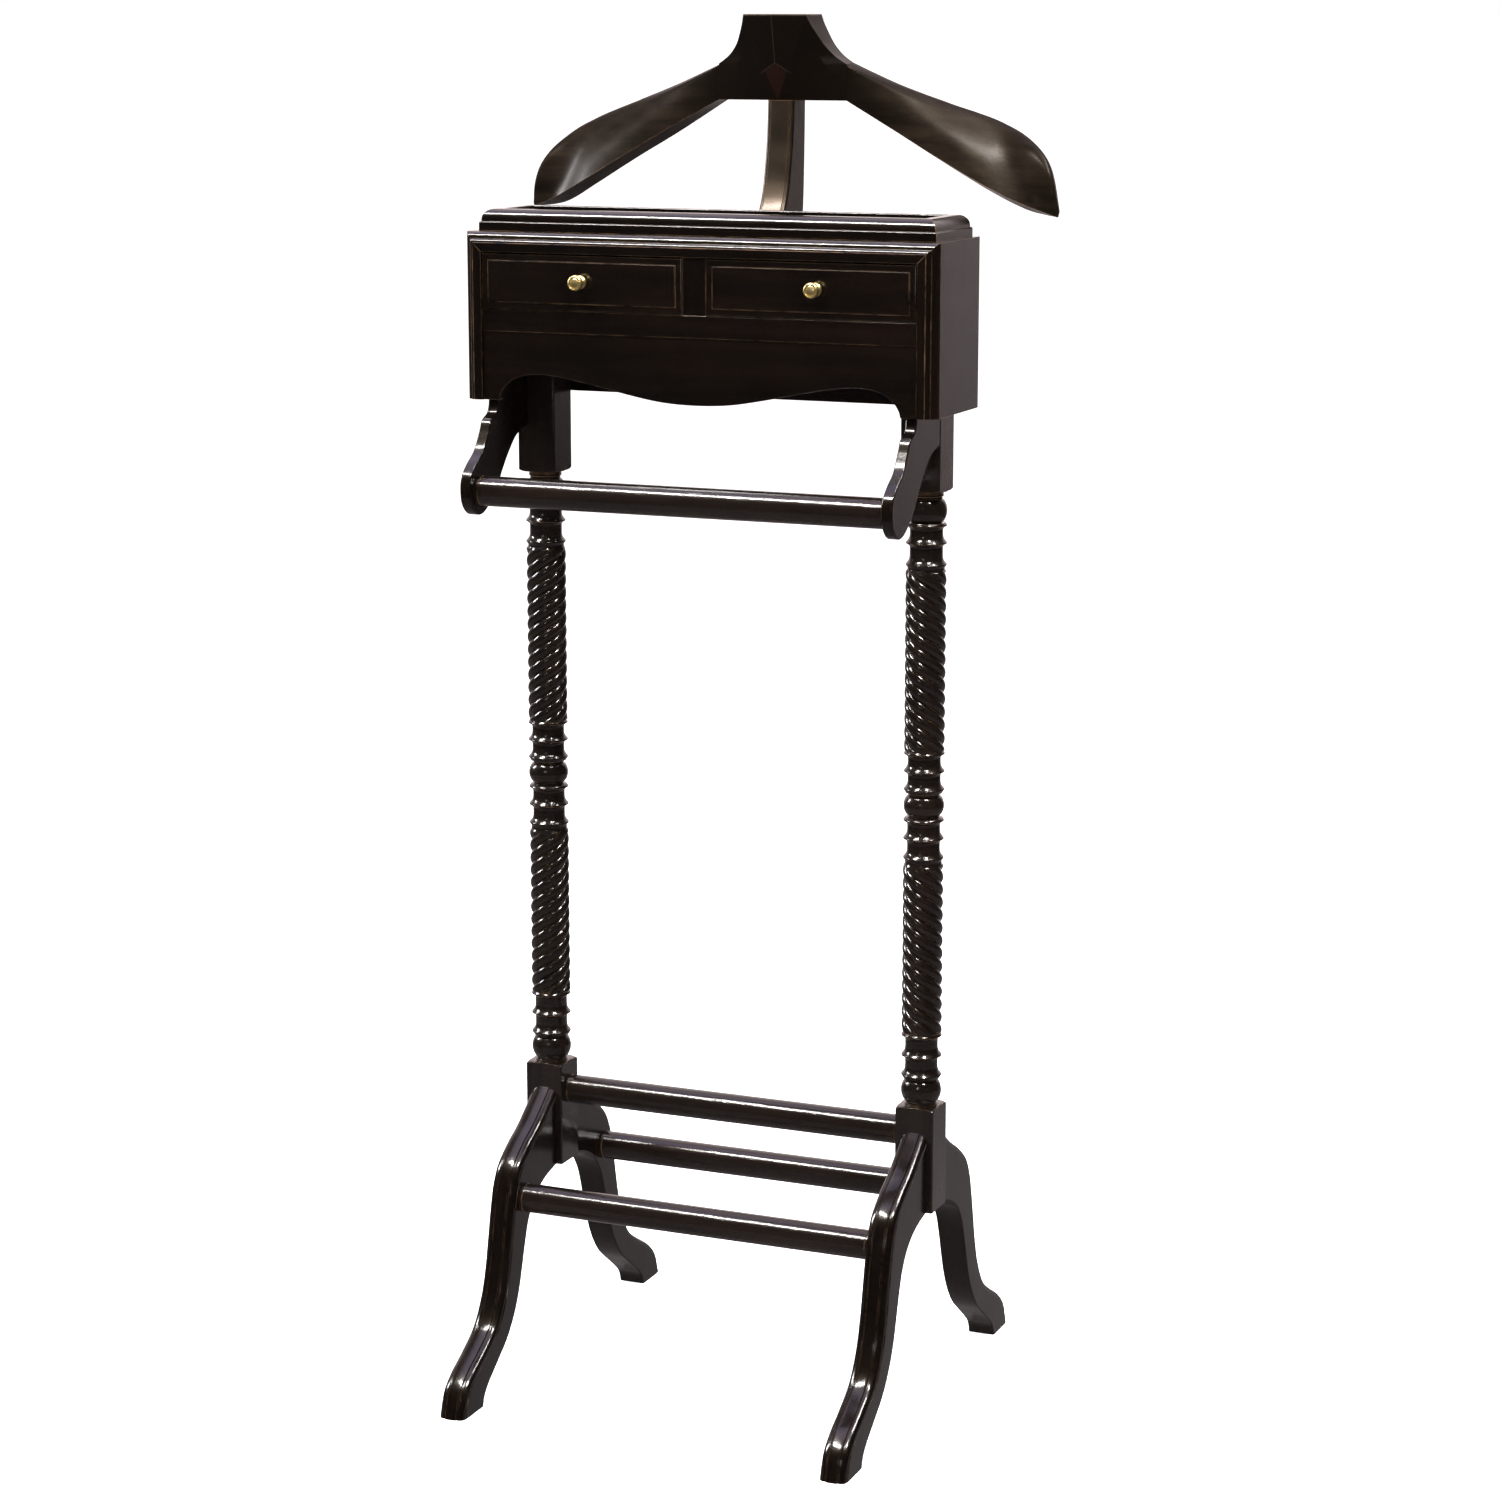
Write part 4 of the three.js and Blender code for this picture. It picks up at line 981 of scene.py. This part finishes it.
def eased(ring, passes, fixed):
    """A closed ring whose corners are eased by repeated averaging, apart from the fixed ones."""
    for _ in range(passes):
        ring = [p if k in fixed else tuple(
            (a + 2 * b + c) / 4 for a, b, c in zip(ring[k - 1], p, ring[(k + 1) % len(ring)]))
            for k, p in enumerate(ring)]
    return ring


def hanger_arm():
    """Rings of the right arm from the block to the tip."""
    edges = [spline(points, 10) for points in ARM_EDGES]
    front_steps, crown_steps, rear_steps, under_steps = 14, 14, 12, 6
    lower_corners = (0, front_steps + crown_steps + rear_steps)
    rows = []
    for i, (lower, middle, crease, top, rear_top, rear_low) in enumerate(zip(*edges)):
        front = evenly(spline([lower, middle, crease], 8), front_steps)
        crown = evenly(spline([crease, top, rear_top], 8), crown_steps)
        rear = evenly([rear_top, rear_low], rear_steps)
        under = evenly([rear_low, lower], under_steps)
        ring = front[:-1] + crown[:-1] + rear[:-1] + under[:-1]
        passes = round(ARM_EASING * min(1.0, i / EASING_ROWS))
        rows.append(eased(ring, passes, lower_corners))
    return rows


pair("hanger_arm", *loft(hanger_arm()), arm_wood, sharp=55)


# ------------------------------------------------------------------ nodes whose CAD shape is right
def dress(node, material, width):
    """Gives a CAD node its material and rounds its edges."""
    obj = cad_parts[node]
    obj.data.materials.clear()
    obj.data.materials.append(material)
    weld = obj.modifiers.new("weld", "WELD")
    weld.merge_threshold = 0.01 * MM
    if width:
        bevel(obj, width)


for side in ("left", "right"):
    dress(f"case_side_{side}", mahogany["z"], 0.7)
    dress(f"bracket_dowel_{side}", beech, 0)
    dress(f"hanger_dowel_{side}", beech, 0)
    dress(f"post_screw_{side}", steel, 0)
    for end in ("front", "rear"):
        dress(f"leg_dowel_{end}_{side}", beech, 0)
    for wall in ("side_inner", "side_outer"):
        dress(f"drawer_{side}_{wall}", drawer_wood["y"], 0.6)
    dress(f"drawer_{side}_back", drawer_wood["x"], 0.6)
    dress(f"drawer_{side}_bottom", drawer_wood["x"], 0.3)
    dress(f"drawer_{side}_knob_screw", steel, 0)
for level in ("upper", "lower"):
    dress(f"stem_screw_{level}", steel, 0)
for node in ("case_back", "case_top", "dust_board", "drawer_divider"):
    dress(node, mahogany["x"], 0.4)
dress("muntin", mahogany["z"], 0.5)
dress("lower_rail", mahogany["x"], 0.3)
